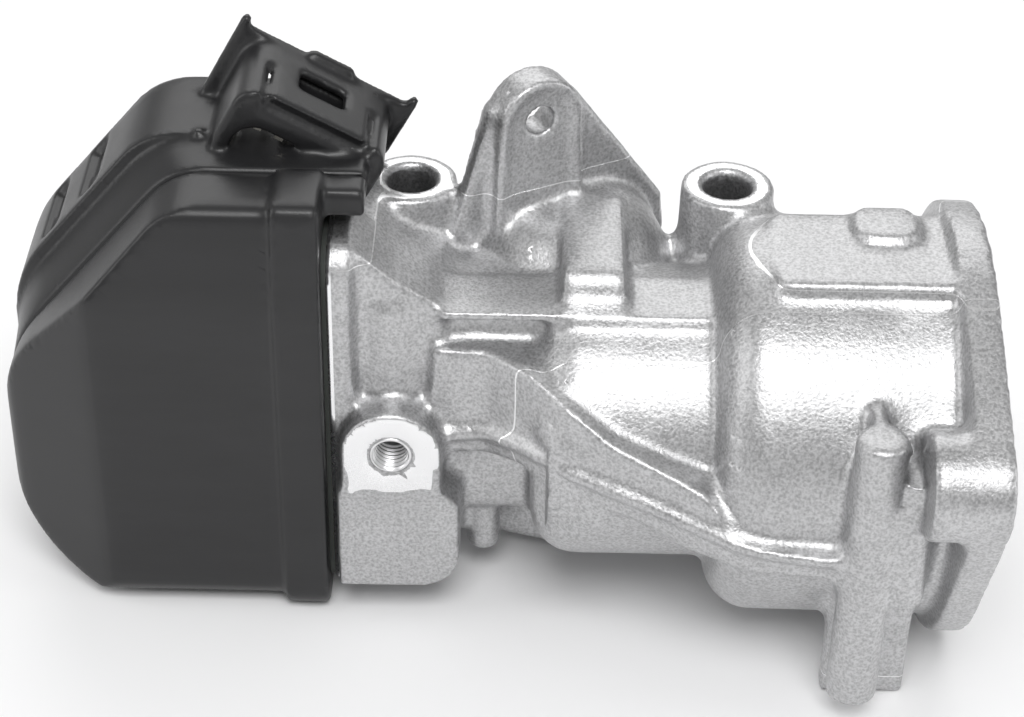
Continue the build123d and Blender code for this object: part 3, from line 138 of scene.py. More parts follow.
class PlasticSettings(bpy.types.PropertyGroup):
    tone: FloatVectorProperty(
        name="Tone", description="Colour of the glass-filled plastic", subtype="COLOR", size=3,
        min=0, max=1, default=(0.0105, 0.0105, 0.0112),
    )
    grain: FloatProperty(
        name="Grain", description="Size of the spark-eroded texture", default=0.22 * MM,
        unit="LENGTH",
    )
    cell: FloatProperty(
        name="Cell", description="Cell of the moulded skins' distance field", default=0.42 * MM,
        unit="LENGTH",
    )
    fillet: FloatProperty(
        name="Fillet", description="Radius of the inner corners", default=0.4 * MM, unit="LENGTH"
    )
    rounding: FloatProperty(
        name="Rounding", description="Radius of the outer edges", default=0.45 * MM, unit="LENGTH"
    )


class StageSettings(bpy.types.PropertyGroup):
    floor_tone: FloatVectorProperty(
        name="Floor", description="Colour of the floor", subtype="COLOR", size=3,
        min=0, max=1, default=(0.93, 0.93, 0.935),
    )
    surround: FloatProperty(
        name="Surround", description="Brightness of the white room", default=0.42, min=0
    )
    lens: FloatProperty(
        name="Lens", description="Focal length on a 36 mm frame", default=84.4, unit="CAMERA"
    )
    distance: FloatProperty(
        name="Distance", description="Camera distance from its aim", default=408 * MM, unit="LENGTH"
    )
    pitch: FloatProperty(
        name="Pitch", description="How far the camera looks down", default=math.radians(36),
        unit="ROTATION",
    )
    roll: FloatProperty(
        name="Roll", description="Turn of the frame", default=math.radians(1.2), unit="ROTATION"
    )
    aim: FloatVectorProperty(
        name="Aim", description="Point that the camera looks at", subtype="TRANSLATION", size=3,
        default=(-77.6 * MM, 0, 10 * MM),
    )


# ------------------------------------------------------------------ shader maths
class Field:
    """A shader socket that is added, scaled and compared as a number is."""

    def __init__(self, graph, socket):
        self.graph = graph
        self.socket = socket

    def math(self, operation, *others):
        """The result of a Math node on the value and any others."""
        sockets = dict(enumerate((self, *others)))
        return self.graph.node("ShaderNodeMath", {"operation": operation}, sockets)

    def __add__(self, other):
        return self.math("ADD", other)

    def __sub__(self, other):
        return self.math("SUBTRACT", other)

    def __rsub__(self, other):
        return self.graph.node("ShaderNodeMath", {"operation": "SUBTRACT"}, {0: other, 1: self})

    def __mul__(self, other):
        return self.math("MULTIPLY", other)

    def __lt__(self, other):
        return self.math("LESS_THAN", other)

    def __gt__(self, other):
        return self.math("GREATER_THAN", other)

    def __abs__(self):
        return self.math("ABSOLUTE")

    __radd__ = __add__
    __rmul__ = __mul__

    def wave(self, length):
        """A sine of the value with this wavelength, from -1 to 1."""
        return (self * (2 * math.pi / length)).math("SINE")

    def within(self, centre, width):
        """1 where the value lies within width of centre, else 0."""
        return abs(self - centre) < width

    def clamp(self, low, high):
        """The value mapped so that low becomes 0 and high becomes 1, cut off beyond them."""
        sockets = {"Value": self, "From Min": low, "From Max": high}
        return self.graph.node("ShaderNodeMapRange", {"clamp": True}, sockets)


class Graph:
    """A material's tree; node() makes every node in it."""

    def __init__(self, name):
        self.material = bpy.data.materials.new(name)
        self.material.use_nodes = True
        self.tree = self.material.node_tree
        self.tree.nodes.clear()
        self.place = self.node("ShaderNodeTexCoord", output="Object")
        parts = self.node("ShaderNodeSeparateXYZ", {}, {0: self.place}, output=None)
        self.x, self.y, self.z = (Field(self, parts.outputs[i]) for i in range(3))

    def node(self, kind, settings=None, sockets=None, output=0):
        """Adds a node: its settings first, then values or links for its sockets."""
        node = self.tree.nodes.new(kind)
        for key, value in (settings or {}).items():
            setattr(node, key, value)
        for key, value in (sockets or {}).items():
            if isinstance(value, Field):
                self.tree.links.new(value.socket, node.inputs[key])
            else:
                node.inputs[key].default_value = value
        return node if output is None else Field(self, node.outputs[output])

    def noise(self, size, detail=2.0, roughness=0.5, place=None):
        """Noise with features about this size across, from 0 to 1."""
        sockets = {"Scale": 1 / size, "Detail": detail, "Roughness": roughness}
        sockets["Vector"] = place or self.place
        return self.node("ShaderNodeTexNoise", {"noise_dimensions": "3D"}, sockets)

    def cells(self, size):
        """Distance to the middle of rounded cells of about this size."""
        sockets = {"Vector": self.place, "Scale": 1 / size}
        return self.node("ShaderNodeTexVoronoi", {"feature": "F1"}, sockets)

    def mix(self, factor, first, second):
        """Blends two colours."""
        sockets = {0: factor, 6: colour(first), 7: colour(second)}
        return self.node("ShaderNodeMix", {"data_type": "RGBA"}, sockets, output=2)

    def bump(self, height, depth, under=None, strength=1.0):
        """A normal tilted by a height from 0 to 1 that stands for this depth."""
        sockets = {"Height": height, "Distance": depth, "Strength": strength}
        if under is not None:
            sockets["Normal"] = under
        return self.node("ShaderNodeBump", {}, sockets)

    def rings(self, along, across):
        """Distance from an axis, given the two coordinates across it."""
        return (along * along + across * across).math("SQRT")

    def finish(self, **sockets):
        """Closes the tree with one Principled shader."""
        values = {key.replace("_", " ").title(): value for key, value in sockets.items()}
        shader = self.node("ShaderNodeBsdfPrincipled", {}, values)
        self.node("ShaderNodeOutputMaterial", {}, {"Surface": shader}, output=None)
        return self.material


def colour(value):
    """A colour socket, or a plain colour with its alpha."""
    return value if isinstance(value, Field) else (*value, 1)


def darker(tone, share):
    """A plain colour times a share; above 1 it is lighter."""
    return [share * part for part in tone]


# ------------------------------------------------------------------ materials
def cast_aluminium(settings):
    """Shot-blasted die casting: sandy grain over a cloudy tone, bright and smooth where cut."""
    g = Graph("cast_aluminium")
    grain = g.noise(settings.grain, 2, 0.6)
    pits = g.cells(settings.grain * 1.7)
    clouds = g.noise(11 * MM, 4, 0.55)
    flow = g.noise(2.6 * MM, 3, 0.5)
    cut, marks = machined_faces(g)
    cast = 1 - cut
    specks = (grain + (pits - 0.45) * 0.35).clamp(0.33, 0.67)
    sandy = g.mix(specks, darker(settings.tone, 0.66), settings.tone)
    cloudy = g.mix(clouds.clamp(0.30, 0.62), darker(settings.tone, 0.80), settings.tone)
    tone = g.node(
        "ShaderNodeMix", {"data_type": "RGBA", "blend_type": "MULTIPLY"},
        {0: 0.6, 6: sandy, 7: cloudy}, output=2,
    )
    tone = g.mix(cut, tone, settings.machined_tone)
    roughness = 0.44 + (clouds - 0.5) * 0.20 + (grain - 0.5) * 0.20 - cut * 0.14
    wavy = g.bump(flow * cast, 0.12 * MM, strength=0.4)
    sand = g.bump((grain + pits * 0.5) * cast, 0.12 * MM, under=wavy, strength=0.5)
    normal = g.bump(marks * cut, 0.006 * MM, under=sand, strength=0.6)
    return g.finish(base_color=tone, roughness=roughness, metallic=1.0, normal=normal)


def machined_faces(g):
    """A mask of the faces that are cut after casting, each found by its plane, and tool marks."""
    boss_top = g.z.within(BOSS_TOP_Z, FACE_EDGE)
    flange = g.x.within(0, FACE_EDGE)
    sensor = g.y.within(SENSOR_FACE_Y, FACE_EDGE) * (g.z > SENSOR[2] - SENSOR_FACE_DROP)
    foot = g.z.within(PORT[2], FACE_EDGE)
    joint = g.x < JOINT_X + JOINT_MARGIN
    round_flange, round_sensor = g.rings(g.y, g.z), g.rings(g.x - SENSOR[0], g.z - SENSOR[2])
    marks = round_flange.wave(0.5 * MM) * flange + round_sensor.wave(0.45 * MM) * sensor
    return (boss_top + flange + sensor + foot + joint) > 0.5, marks + g.noise(0.3 * MM, 2, 0.5)


def black_plastic(settings):
    """Glass-filled plastic with a fine eroded grain and faint flow streaks."""
    g = Graph("black_plastic")
    grain = g.noise(settings.grain, 2, 0.55)
    drawn = g.node("ShaderNodeMapping", {}, {"Vector": g.place, "Scale": (0.35, 1.0, 1.6)})
    flow = g.noise(9 * MM, 4, 0.6, place=drawn)
    scuffs = g.noise(1.1 * MM, 4, 0.7).clamp(0.60, 0.80)
    tone = g.mix(flow.clamp(0.3, 0.75), settings.tone, darker(settings.tone, 1.5))
    roughness = 0.36 + (flow - 0.5) * 0.12 + (grain - 0.5) * 0.14 + scuffs * 0.06
    normal = g.bump(grain, 0.02 * MM, strength=0.6)
    return g.finish(base_color=tone, roughness=roughness, normal=normal)


def turned_metal(name, tone, roughness):
    """Turned or ground metal: a very fine unevenness over a slightly cloudy tone."""
    g = Graph(name)
    clouds = g.noise(4 * MM, 3, 0.5)
    lines = g.noise(0.15 * MM, 2, 0.5)
    shade = g.mix(clouds.clamp(0.3, 0.7), darker(tone, 0.85), tone)
    return g.finish(
        base_color=shade, roughness=roughness + (lines - 0.5) * 0.18, metallic=1.0,
        normal=g.bump(lines, 0.006 * MM, strength=0.5),
    )


def moulded(name, tone, roughness, coat=0.0):
    """A plain moulded or pressed material with a fine grain and a cloudy tone."""
    g = Graph(name)
    clouds = g.noise(6 * MM, 3, 0.5)
    fine = g.noise(0.25 * MM, 2, 0.5)
    shade = g.mix(clouds.clamp(0.3, 0.7), darker(tone, 0.82), tone)
    return g.finish(
        base_color=shade, roughness=roughness + (fine - 0.5) * 0.12, coat_weight=coat,
        normal=g.bump(fine, 0.012 * MM, strength=0.5),
    )


# ------------------------------------------------------------------ meshes
def dress(piece, material):
    """Gives a piece its one material."""
    piece.data.materials.clear()
    piece.data.materials.append(material)


def add_piece(name, points, *face_sets):
    """A smooth object from an array of points and arrays of triangles or quads."""
    mesh = bpy.data.meshes.new(name)
    corners = np.concatenate([faces.ravel() for faces in face_sets])
    sizes = np.concatenate([np.full(len(faces), faces.shape[1]) for faces in face_sets])
    mesh.vertices.add(len(points))
    mesh.vertices.foreach_set("co", np.ascontiguousarray(points, np.float32).ravel())
    mesh.loops.add(len(corners))
    mesh.loops.foreach_set("vertex_index", corners.astype(np.int32))
    mesh.polygons.add(len(sizes))
    mesh.polygons.foreach_set("loop_start", (np.cumsum(sizes) - sizes).astype(np.int32))
    mesh.polygons.foreach_set("use_smooth", np.ones(len(sizes), bool))
    mesh.update(calc_edges=True)
    mesh.validate()
    piece = bpy.data.objects.new(name, mesh)
    bpy.context.scene.collection.objects.link(piece)
    return piece


SAME_POINT = 0.0005 * MM  # points nearer than this are one


def node_surface(name):
    """A CAD node's points, with doubles merged, and its triangles."""
    mesh = frame["nodes"][name].data
    points = np.empty(len(mesh.vertices) * 3, np.float32)
    mesh.vertices.foreach_get("co", points)
    mesh.calc_loop_triangles()
    corners = np.empty(len(mesh.loop_triangles) * 3, np.int32)
    mesh.loop_triangles.foreach_get("vertices", corners)
    points = points.reshape(-1, 3)
    keys = np.round(points / SAME_POINT).astype(np.int64)
    _, first, merged = np.unique(keys, axis=0, return_index=True, return_inverse=True)
    return points[first], merged.reshape(-1)[corners].reshape(-1, 3).astype(np.uint32)


class DistanceField:
    """A solid as the signed distance to its surface on a grid, negative inside."""

    def __init__(self, points, triangles, quads, cell, reach):
        self.cell, self.reach = cell, reach
        self.grid = openvdb.FloatGrid.createLevelSetFromPolygons(
            points, triangles=triangles, quads=quads,
            transform=openvdb.createLinearTransform(voxelSize=cell), halfWidth=reach,
        )

    def moved(self, distance):
        """The solid grown by a distance, or shrunk by a negative one, measured afresh."""
        points, triangles, quads = self.grid.convertToPolygons(isovalue=distance, adaptivity=0)
        return DistanceField(points, triangles, quads, self.cell, self.reach)

    def blended(self, fillet, rounding):
        """Growing then shrinking fills inner corners; shrinking then growing rounds outer edges."""
        return self.moved(fillet).moved(-fillet - rounding).moved(rounding)

    def values(self, low, shape):
        """The distances in a block of cells that starts at low."""
        block = np.empty(shape, np.float32)
        self.grid.copyToArray(block, ijk=low)
        return block


def solid_of(node, cell, reach):
    """A CAD node's solid as a distance field."""
    points, triangles = node_surface(node)
    return DistanceField(points, triangles, np.empty((0, 4), np.uint32), cell, reach)


def block_round(node, cell, margin=6):
    """The first cell and the shape of a block of cells round a node, and its coordinates."""
    low, high = (np.array(corner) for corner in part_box(node))
    first = np.floor(low / cell).astype(int) - margin
    shape = np.ceil(high / cell).astype(int) + margin - first
    axes = [(first[i] + np.arange(shape[i], dtype=np.float32)) * cell for i in range(3)]
    return tuple(int(i) for i in first), tuple(int(i) for i in shape), np.ix_(*axes)


def faces_of(distances, first, cell, flatness):
    """Points, triangles and quads of the surface where the distances in a block are zero."""
    band = 4 * cell
    grid = openvdb.FloatGrid(band)
    grid.transform = openvdb.createLinearTransform(voxelSize=cell)
    grid.gridClass = openvdb.GridClass.LEVEL_SET
    grid.copyFromArray(np.clip(distances, -band, band), ijk=first, tolerance=0)
    return grid.convertToPolygons(isovalue=0, adaptivity=flatness)


def surface_of(name, distances, first, cell, flatness):
    """The piece whose surface is where the distances in a block are zero."""
    points, triangles, quads = faces_of(distances, first, cell, flatness)
    return add_piece(name, points, triangles[:, ::-1], quads[:, ::-1])


def path(u, v, corners, closed=True):
    """Distance to a path of straight runs, its corners in mm: the nearest point of a run lies at
    the clamped share of it. Inside a closed path, found by counting crossings, it is negative."""
    corners = np.array(corners) * MM
    ends = np.roll(corners, -1, 0) if closed else corners[1:]
    nearest, odd = np.inf, False
    for (u0, v0), (u1, v1) in zip(corners, ends):
        du, dv = u1 - u0, v1 - v0
        share = np.clip(((u - u0) * du + (v - v0) * dv) / (du * du + dv * dv), 0, 1)
        nearest = np.minimum(nearest, np.hypot(u - u0 - share * du, v - v0 - share * dv))
        if closed and dv:
            odd = odd ^ (((v0 > v) != (v1 > v)) & (u < u0 + (v - v0) / dv * du))
    return np.where(odd, -nearest, nearest) if closed else nearest


def slab(w, low, high):
    """Distance from a slab between two heights in mm, negative between them."""
    return np.maximum(low * MM - w, w - high * MM)


def rod(u, v, centre, radius):
    """Distance from a round rod, its centre and radius in mm."""
    return np.hypot(u - centre[0] * MM, v - centre[1] * MM) - radius * MM


def joined(*forms):
    """The forms as one: the least of their distances."""
    return reduce(np.minimum, forms)


def shared(*forms):
    """What lies in all the forms: the greatest of their distances."""
    return reduce(np.maximum, forms)


def carved(form, *tools):
    """The form less what lies in all the tools."""
    return np.maximum(form, -shared(*tools))


def shell(outline, wall):
    """The wall, in mm, inside an outline."""
    return np.maximum(outline, -wall * MM - outline)


def kept_in_box(form, node, *coordinates):
    """The form cut off at the sides of the node's own box."""
    for low, high, place in zip(*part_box(node), coordinates):
        form = np.maximum(form, np.maximum(low - place, place - high))
    return form


def ripples(shape, cell, size, seed):
    """Smooth random heights from -1 to 1 over a block: values on a coarse grid, with each axis in
    turn filled in between them by an S-shaped ramp."""
    heights = np.random.default_rng(seed).uniform(-1, 1, [int(n * cell / size) + 3 for n in shape])
    heights = heights.astype(np.float32)
    for axis, count in enumerate(shape):
        place = np.arange(count) * (cell / size)
        lower = place.astype(int)
        ramp = (place - lower).astype(np.float32)
        ramp = (ramp * ramp * (3 - 2 * ramp)).reshape([-1 if i == axis else 1 for i in range(3)])
        near, far = heights.take(lower, axis), heights.take(lower + 1, axis)
        heights = near + (far - near) * ramp
    return heights


CRISP = 1.2 * MM  # width of the ring round a drilled hole where the form stays exact


def drilled(form, near, mouth, axis, radius, depth, chamfer):
    """The form with a round hole bored from its mouth along an axis, wider over the chamfer. Round
    the hole the form is the exact one, so its edge stays crisp."""
    exact, coordinates = near
    offsets = [place - start for place, start in zip(coordinates, mouth)]
    along = sum(o * a for o, a in zip(offsets, axis))
    across = np.sqrt(np.maximum(sum(o * o for o in offsets) - along * along, 0))
    form = np.where((across < radius + CRISP) & (abs(along - depth / 2) < depth), exact, form)
    wall = across - radius - np.clip(chamfer - along, 0, chamfer)
    return carved(form, wall, abs(along - depth / 2 + MM) - depth / 2 - MM)


def thread(name, mouth, axis, radius, depth):
    """A thread as a closed sleeve: its section runs down the ridged inside and back up a plain
    outside in the metal, and the ridge's place along the hole turns with the angle."""
    pitch, height, start, gap, wall = 1.0 * MM, 0.42 * MM, 0.25 * MM, 0.02 * MM, 0.3 * MM
    turns, steps = 72, int(depth / pitch * 10)
    angle = np.arange(turns)[:, None] * (2 * math.pi / turns)
    along = np.linspace(start, depth, steps)[None, :]
    phase = (along / pitch - angle / (2 * math.pi)) % 1
    ridge = height * np.clip(1.5 - abs(phase * 4 - 2), 0, 1) * np.clip(along / pitch, 0, 1)
    inner = radius - gap - ridge
    ends = np.full((turns, 2), radius + wall)
    reach = np.concatenate([inner, ends], axis=1)
    place = np.concatenate([along, [[depth, start]]], axis=1) + np.zeros((turns, 1))
    axis = np.array(axis, float)
    side = np.cross(axis, (0, 0, 1) if abs(axis[2]) < 0.5 else (1, 0, 0))
    side /= np.linalg.norm(side)
    other = np.cross(axis, side)
    points = np.array(mouth) + place[..., None] * axis
    outwards = np.cos(angle)[..., None] * side + np.sin(angle)[..., None] * other
    points = points + reach[..., None] * outwards
    rows, columns = points.shape[:2]
    index = np.arange(rows * columns).reshape(rows, columns)
    across, turned = np.roll(index, -1, 1), np.roll(index, -1, 0)
    faces = np.stack([index, across, np.roll(across, -1, 0), turned], axis=-1)
    return add_piece(name, points.reshape(-1, 3), faces.reshape(-1, 4))


# ------------------------------------------------------------------ skins
# Corners and ranges are in mm. FAR lies beyond the object on either side.
FAR = 60
WALL_KEPT, MOULDED_WALL_KEPT = 0.3 * MM, 0.25 * MM  # the most that blending takes off a wall
CAST_FLATNESS, MOULDED_FLATNESS = 0.022, 0.03  # how flat an area is before its faces are merged
RIPPLE_SIZE, RIPPLE_SEED = 3.4 * MM, 5

# the front web from above, its top edge and its parting line
WEB_PLAN = (
    (-90.9, -9.4), (-81.8, -10.6), (-75.5, -15.5), (-68.4, -22.2), (-60.5, -26.0), (-52, -28.8),
    (-46, -31.6), (-41, -34.2), (-33, -35.6), (-19.4, -36.4),
)
WEB_BACK = ((-19.4, 0), (-90.9, 0))
WEB_TOP = (
    (-92, 17.9), (-84, 18.6), (-75, 18.5), (-67.5, 15.4), (-61.4, 11.6), (-54, 8.8), (-46, 6.0),
    (-40.5, 0.6), (-37, -0.9), (-19.4, -1.6),
)
PARTING_LINE = (
    (-90.9, 1.0), (-80, 3.2), (-70.4, 4.2), (-60, 2.8), (-49, 0.2), (-36, -1.6), (-19.4, -2.8),
)
WEB_DROP = 5  # from the parting line down to the web's lower edge
OLD_WEB_X, OLD_WEB_Z = (-88, -24), (-11, 7)
RIB_PROUD, RIB_HALF, RIB_X = 1.7, 0.9, (-89.5, -20)
COLUMN, COLUMN_R, COLUMN_Z = (-97.6, -0.4), 8.2, (-0.4, 25.2)
FACET = ((-107.2, 36.4), (-104, 36.4), (-97.2, 30.2), (-89, 25.4), (-89, 12), (-107.2, 12))
FACET_Y, SHOULDER_Y, SHOULDER_Z = (-7.4, 5), (4, 20), (12, 33.8)
PAD_SIDE = ((-7.2, 20), (-7.2, 26.0), (3.4, 29.4), (20, 29.4), (20, 20))
PAD_X = (-69.5, -58.9)

# the round post, the clear space round it and the rail behind it
POST, POST_R, POST_Z = (-19.6, -35.4), 4.3, (-31.8, 22)
CLEAR_BELOW = ((POST[0] - 10, -6.3), (-FAR, -30.6), (-FAR, -11))
CLEAR_ABOVE = ((POST[0] - 6, POST[0] + 5), (-FAR, -24), (0, 30))
RAIL_HALF, RAIL_Y, RAIL_Z = 1.3, (POST[1], -24), (-24, 30)
TUBE_R = 34

# radius round the X axis, and the range along it, of the bored spaces, up to mid-wall
BORED = ((31, -32.5, FAR), (19, -48, FAR), (22.5, -71.5, -44), (6.4, -2 * FAR, FAR))
PORT_MARGIN, PORT_ROOF_Z = 2.3 * MM, 8 * MM
SENSOR_BOSS_R, SENSOR_CUT = 8.4, 0.45 * MM
CHAMFER, LUG_CHAMFER = 0.8 * MM, 0.5 * MM
BOLT_DEPTH, LUG_DEPTH, SENSOR_DEPTH, EAR_DEPTH = 70 * MM, 11 * MM, 8 * MM, 12 * MM
LUG_THREAD, SENSOR_THREAD = 10 * MM, 7 * MM  # how deep the threads go


def cast_details(form, x, y, z):
    """The casting with its web, parting rib, column, facet, pad and post, each an outline in two
    directions held between heights in the third. Forms join by the least of their distances."""
    plan = path(x, y, WEB_PLAN + WEB_BACK)
    low = tuple((u, v - WEB_DROP) for u, v in reversed(PARTING_LINE))
    form = carved(form, slab(x, *OLD_WEB_X), slab(z, *OLD_WEB_Z), slab(y, -FAR, 0), -plan)
    rib = path(x, z, PARTING_LINE, closed=False) - RIB_HALF * MM
    facet = path(x, z, FACET)
    form = joined(
        form,
        shared(plan, path(x, z, WEB_TOP + low)),
        shared(plan - RIB_PROUD * MM, rib, slab(x, *RIB_X)),
        shared(rod(x, y, COLUMN, COLUMN_R), slab(z, *COLUMN_Z)),
        shared(facet, slab(y, *FACET_Y)),
        shared(facet, slab(y, *SHOULDER_Y), slab(z, *SHOULDER_Z)),
        shared(path(y, z, PAD_SIDE), slab(x, *PAD_X)),
    )
    outside_tube = -rod(y, z, (0, 0), TUBE_R)
    for space in (CLEAR_BELOW, CLEAR_ABOVE):
        sides = [slab(place, *ends) for place, ends in zip((x, y, z), space)]
        form = carved(form, outside_tube, *sides)
    rail = shared(abs(x - POST[0] * MM) - RAIL_HALF * MM, slab(y, *RAIL_Y), slab(z, *RAIL_Z))
    post = joined(rod(x, y, POST, POST_R), rail)
    return joined(form, shared(post, slab(z, *POST_Z)))


def bored(x, y, z):
    """Where the casting is cut after it is cast, up to the middle of each wall."""
    round_x = np.hypot(y, z)
    round_port = np.hypot(x - PORT[0], y - PORT[1])
    inside = (round_port < PORT_R + PORT_MARGIN) & (z < PORT_ROOF_Z) | (x < JOINT_X + JOINT_MARGIN)
    for radius, start, end in BORED:
        inside = inside | (round_x < radius * MM) & (x > start * MM) & (x < end * MM)
    boss = rod(x, z, (SENSOR[0] / MM, SENSOR[2] / MM), SENSOR_BOSS_R)
    return inside | (boss < 0) & (y < SENSOR_FACE_Y + SENSOR_CUT)


def cast_skin(settings):
    """The casting's own form with cast corners: blended outside, exact in its machined bores."""
    cell = settings.cell
    first, shape, (x, y, z) = block_round("valve_body", cell)
    reach = math.ceil((settings.fillet + settings.rounding) / cell) + 3
    exact = solid_of("valve_body", cell, reach).values(first, shape)
    detailed = cast_details(exact, x, y, z)
    solid = DistanceField(*faces_of(detailed, first, cell, 0), cell, reach)
    form = solid.blended(settings.fillet, settings.rounding).values(first, shape)
    form = np.minimum(form, detailed + WALL_KEPT)
    form = form + settings.ripple * ripples(shape, cell, RIPPLE_SIZE, RIPPLE_SEED)
    form = np.where(bored(x, y, z), exact, form)

    near = (exact, (x, y, z))
    for side in (-1, 1):
        mouth = (PORT[0] + side * BOLT_SPAN / 2, PORT[1], BOSS_TOP_Z)
        form = drilled(form, near, mouth, (0, 0, -1), BOLT_R, BOLT_DEPTH, CHAMFER)
    for lug in LUGS:
        form = drilled(form, near, lug, (-1, 0, 0), LUG_R, LUG_DEPTH, LUG_CHAMFER)
    form = drilled(form, near, SENSOR_MOUTH, (0, 1, 0), SENSOR_R, SENSOR_DEPTH, CHAMFER)
    form = drilled(form, near, EAR + EAR_AXIS * 5 * MM, -EAR_AXIS, EAR_HOLE_R, EAR_DEPTH, 0)
    form = kept_in_box(form, "valve_body", x, y, z)
    return surface_of("cast_skin", form, first, cell, CAST_FLATNESS)


def rounded(corners, radii):
    """An open path in mm with each inner corner an arc: its centre lies on the corner's bisector,
    and its points turn from one run's normal to the next run's."""
    corners = np.array(corners, float)
    points = [corners[:1]]
    for before, corner, after, radius in zip(corners, corners[1:], corners[2:], radii):
        first, second = before - corner, after - corner
        first, second = first / np.linalg.norm(first), second / np.linalg.norm(second)
        half = math.acos(first @ second) / 2
        middle = (first + second) / np.linalg.norm(first + second)
        centre = corner + middle * radius / math.sin(half)
        ends = [corner + run * radius / math.tan(half) - centre for run in (first, second)]
        share = np.linspace(0, 1, 9)[:, None]
        arc = ends[0] * (1 - share) + ends[1] * share
        points.append(centre + arc * radius / np.linalg.norm(arc, axis=1)[:, None])
    return np.concatenate(points + [corners[-1:]])


# outlines of the housing's front and rear sections, and the radii of their corners
FRONT_OUTLINE = ((-108.8, 44.5), (-133.5, 44.5), (-164.3, 8.2), (-164.3, -35.8), (-108.8, -35.8))
REAR_OUTLINE = ((-108.8, 45.5), (-139.5, 45.5), (-164.3, 16.0), (-164.3, -35.8), (-108.8, -35.8))
FRONT_RADII, REAR_RADII = (12, 25, 22), (14, 22, 22)
HOUSING_WALL, SLOT_WALL, SLOT_DEPTH = 2.2, 2.0, 1.9
FLARE_BEND = 0.8  # below 1 the flare opens sooner
FLARE_Y, SLOT_Y, LIP_Y = (3.0, 19.5), (18.5, 21.3), (21.3, 26)
NOTCHES = ((-151.5, -148.5), (-158.5, -156.0))
NOTCH_DEPTH, NOTCH_Y, NOTCH_Z = 1.2, (15.3, 30), (0, FAR)

# the connector's frame, the floor and stop in its latch window and the wall behind its pocket
PLUG_X, PLUG_Z, PLUG_TILT = -109.7 * MM, 51.2 * MM, math.radians(28.8)
LATCH_FLOOR = ((-7, 7), (-4.6, -3.4), (12, 24))
LATCH_STOP = ((-7, 7), (-4.6, -1), (22.8, 24))
POCKET_X, POCKET_Y, POCKET_Z, POCKET_TOP = (-131, -109.2), (11.5, 13.5), (38, 52), -14

# seats under the cover's front: centre and radius of the plate over each
COVER_SEATS, COVER_PLATE_Y = (((-134.0, -6.5), 6.0), ((-133.3, 14.3), 3.5)), (-12.0, -10.6)


def housing_details(form, x, y, z):
    """The housing with a flaring front section, its outline turning evenly from the front one to
    the rear one, a slot before the rear section, a closed pocket and a floor in the latch
    window."""
    front = path(x, z, rounded(FRONT_OUTLINE, FRONT_RADII))
    rear = path(x, z, rounded(REAR_OUTLINE, REAR_RADII))
    share = np.clip((y / MM - FLARE_Y[0]) / (FLARE_Y[1] - FLARE_Y[0]), 0, 1) ** FLARE_BEND
    flare = front * (1 - share) + rear * share
    form = joined(
        form,
        shared(shell(flare, HOUSING_WALL), slab(y, *FLARE_Y)),
        shared(shell(rear + SLOT_DEPTH * MM, SLOT_WALL), slab(y, *SLOT_Y)),
        shared(shell(rear, HOUSING_WALL), slab(y, *LIP_Y)),
    )
    for notch in NOTCHES:
        form = carved(
            form, slab(x, *notch), slab(y, *NOTCH_Y), -NOTCH_DEPTH * MM - rear, slab(z, *NOTCH_Z)
        )
    across = (x - PLUG_X) * math.cos(PLUG_TILT) - (z - PLUG_Z) * math.sin(PLUG_TILT)
    height = (x - PLUG_X) * math.sin(PLUG_TILT) + (z - PLUG_Z) * math.cos(PLUG_TILT)
    for block in (LATCH_FLOOR, LATCH_STOP):
        sides = [slab(place, *ends) for place, ends in zip((across, height, y), block)]
        form = joined(form, shared(*sides))
    pocket = shared(slab(z, *POCKET_Z), slab(y, *POCKET_Y), slab(x, *POCKET_X))
    return joined(form, shared(pocket, slab(height, -FAR, POCKET_TOP)))


def cover_details(form, x, y, z):
    """The cover with its front closed over the seats of the shaft and of the idler's axle."""
    for centre, radius in COVER_SEATS:
        form = joined(form, shared(rod(x, z, centre, radius), slab(y, *COVER_PLATE_Y)))
    return form


def moulded_skin(node, name, settings, details):
    """A moulding with its details and every edge a little rounded, as the tool leaves it."""
    cell = settings.cell
    first, shape, (x, y, z) = block_round(node, cell)
    reach = math.ceil((settings.fillet + settings.rounding) / cell) + 3
    detailed = details(solid_of(node, cell, reach).values(first, shape), x, y, z)
    solid = DistanceField(*faces_of(detailed, first, cell, 0), cell, reach)
    form = solid.blended(settings.fillet, settings.rounding).values(first, shape)
    form = np.minimum(form, solid.values(first, shape) + MOULDED_WALL_KEPT)
    form = kept_in_box(form, node, x, y, z)
    return surface_of(name, form, first, cell, MOULDED_FLATNESS)


def coil_spring():
    """The return spring's own surface as a piece of its own, in place of the hidden CAD part; the
    share of its length kept when the stem slides is worked out but not used.
    """
    joints = {joint["name"]: joint for joint in frame["record"]["behaviour"]["joints"]}
    spring = add_piece("coil_spring", *node_surface("return_spring"))
    low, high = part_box("return_spring")
    keep = 1 - joints["stem_slide"]["range_m"][1] / (high[0] - low[0])
    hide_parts("return_spring")
    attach(spring, "root")
    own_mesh(spring)
    return spring


# ------------------------------------------------------------------ operators
class VALVE_OT_casting(bpy.types.Operator):
    """Covers the cast valve body with its shot-blasted skin and cuts its threads"""

    bl_idname = "valve.casting"
    bl_label = "Casting"

    def execute(self, context):
        settings = context.scene.valve_casting
        finish = cast_aluminium(settings)
        skin = cast_skin(settings)
        dress(skin, finish)
        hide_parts("valve_body")
        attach(skin, "root")
        cut = turned_metal("cut_thread", settings.machined_tone, 0.34)
        places = [("sensor_thread", SENSOR_MOUTH, (0, 1, 0), SENSOR_R, SENSOR_THREAD)]
        for i, lug in enumerate(LUGS):
            places.append((f"lug_thread_{i}", lug, (-1, 0, 0), LUG_R, LUG_THREAD))
        for name, mouth, axis, radius, depth in places:
            piece = thread(name, mouth, axis, radius, depth)
            dress(piece, cut)
            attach(piece, "root")
        return {"FINISHED"}


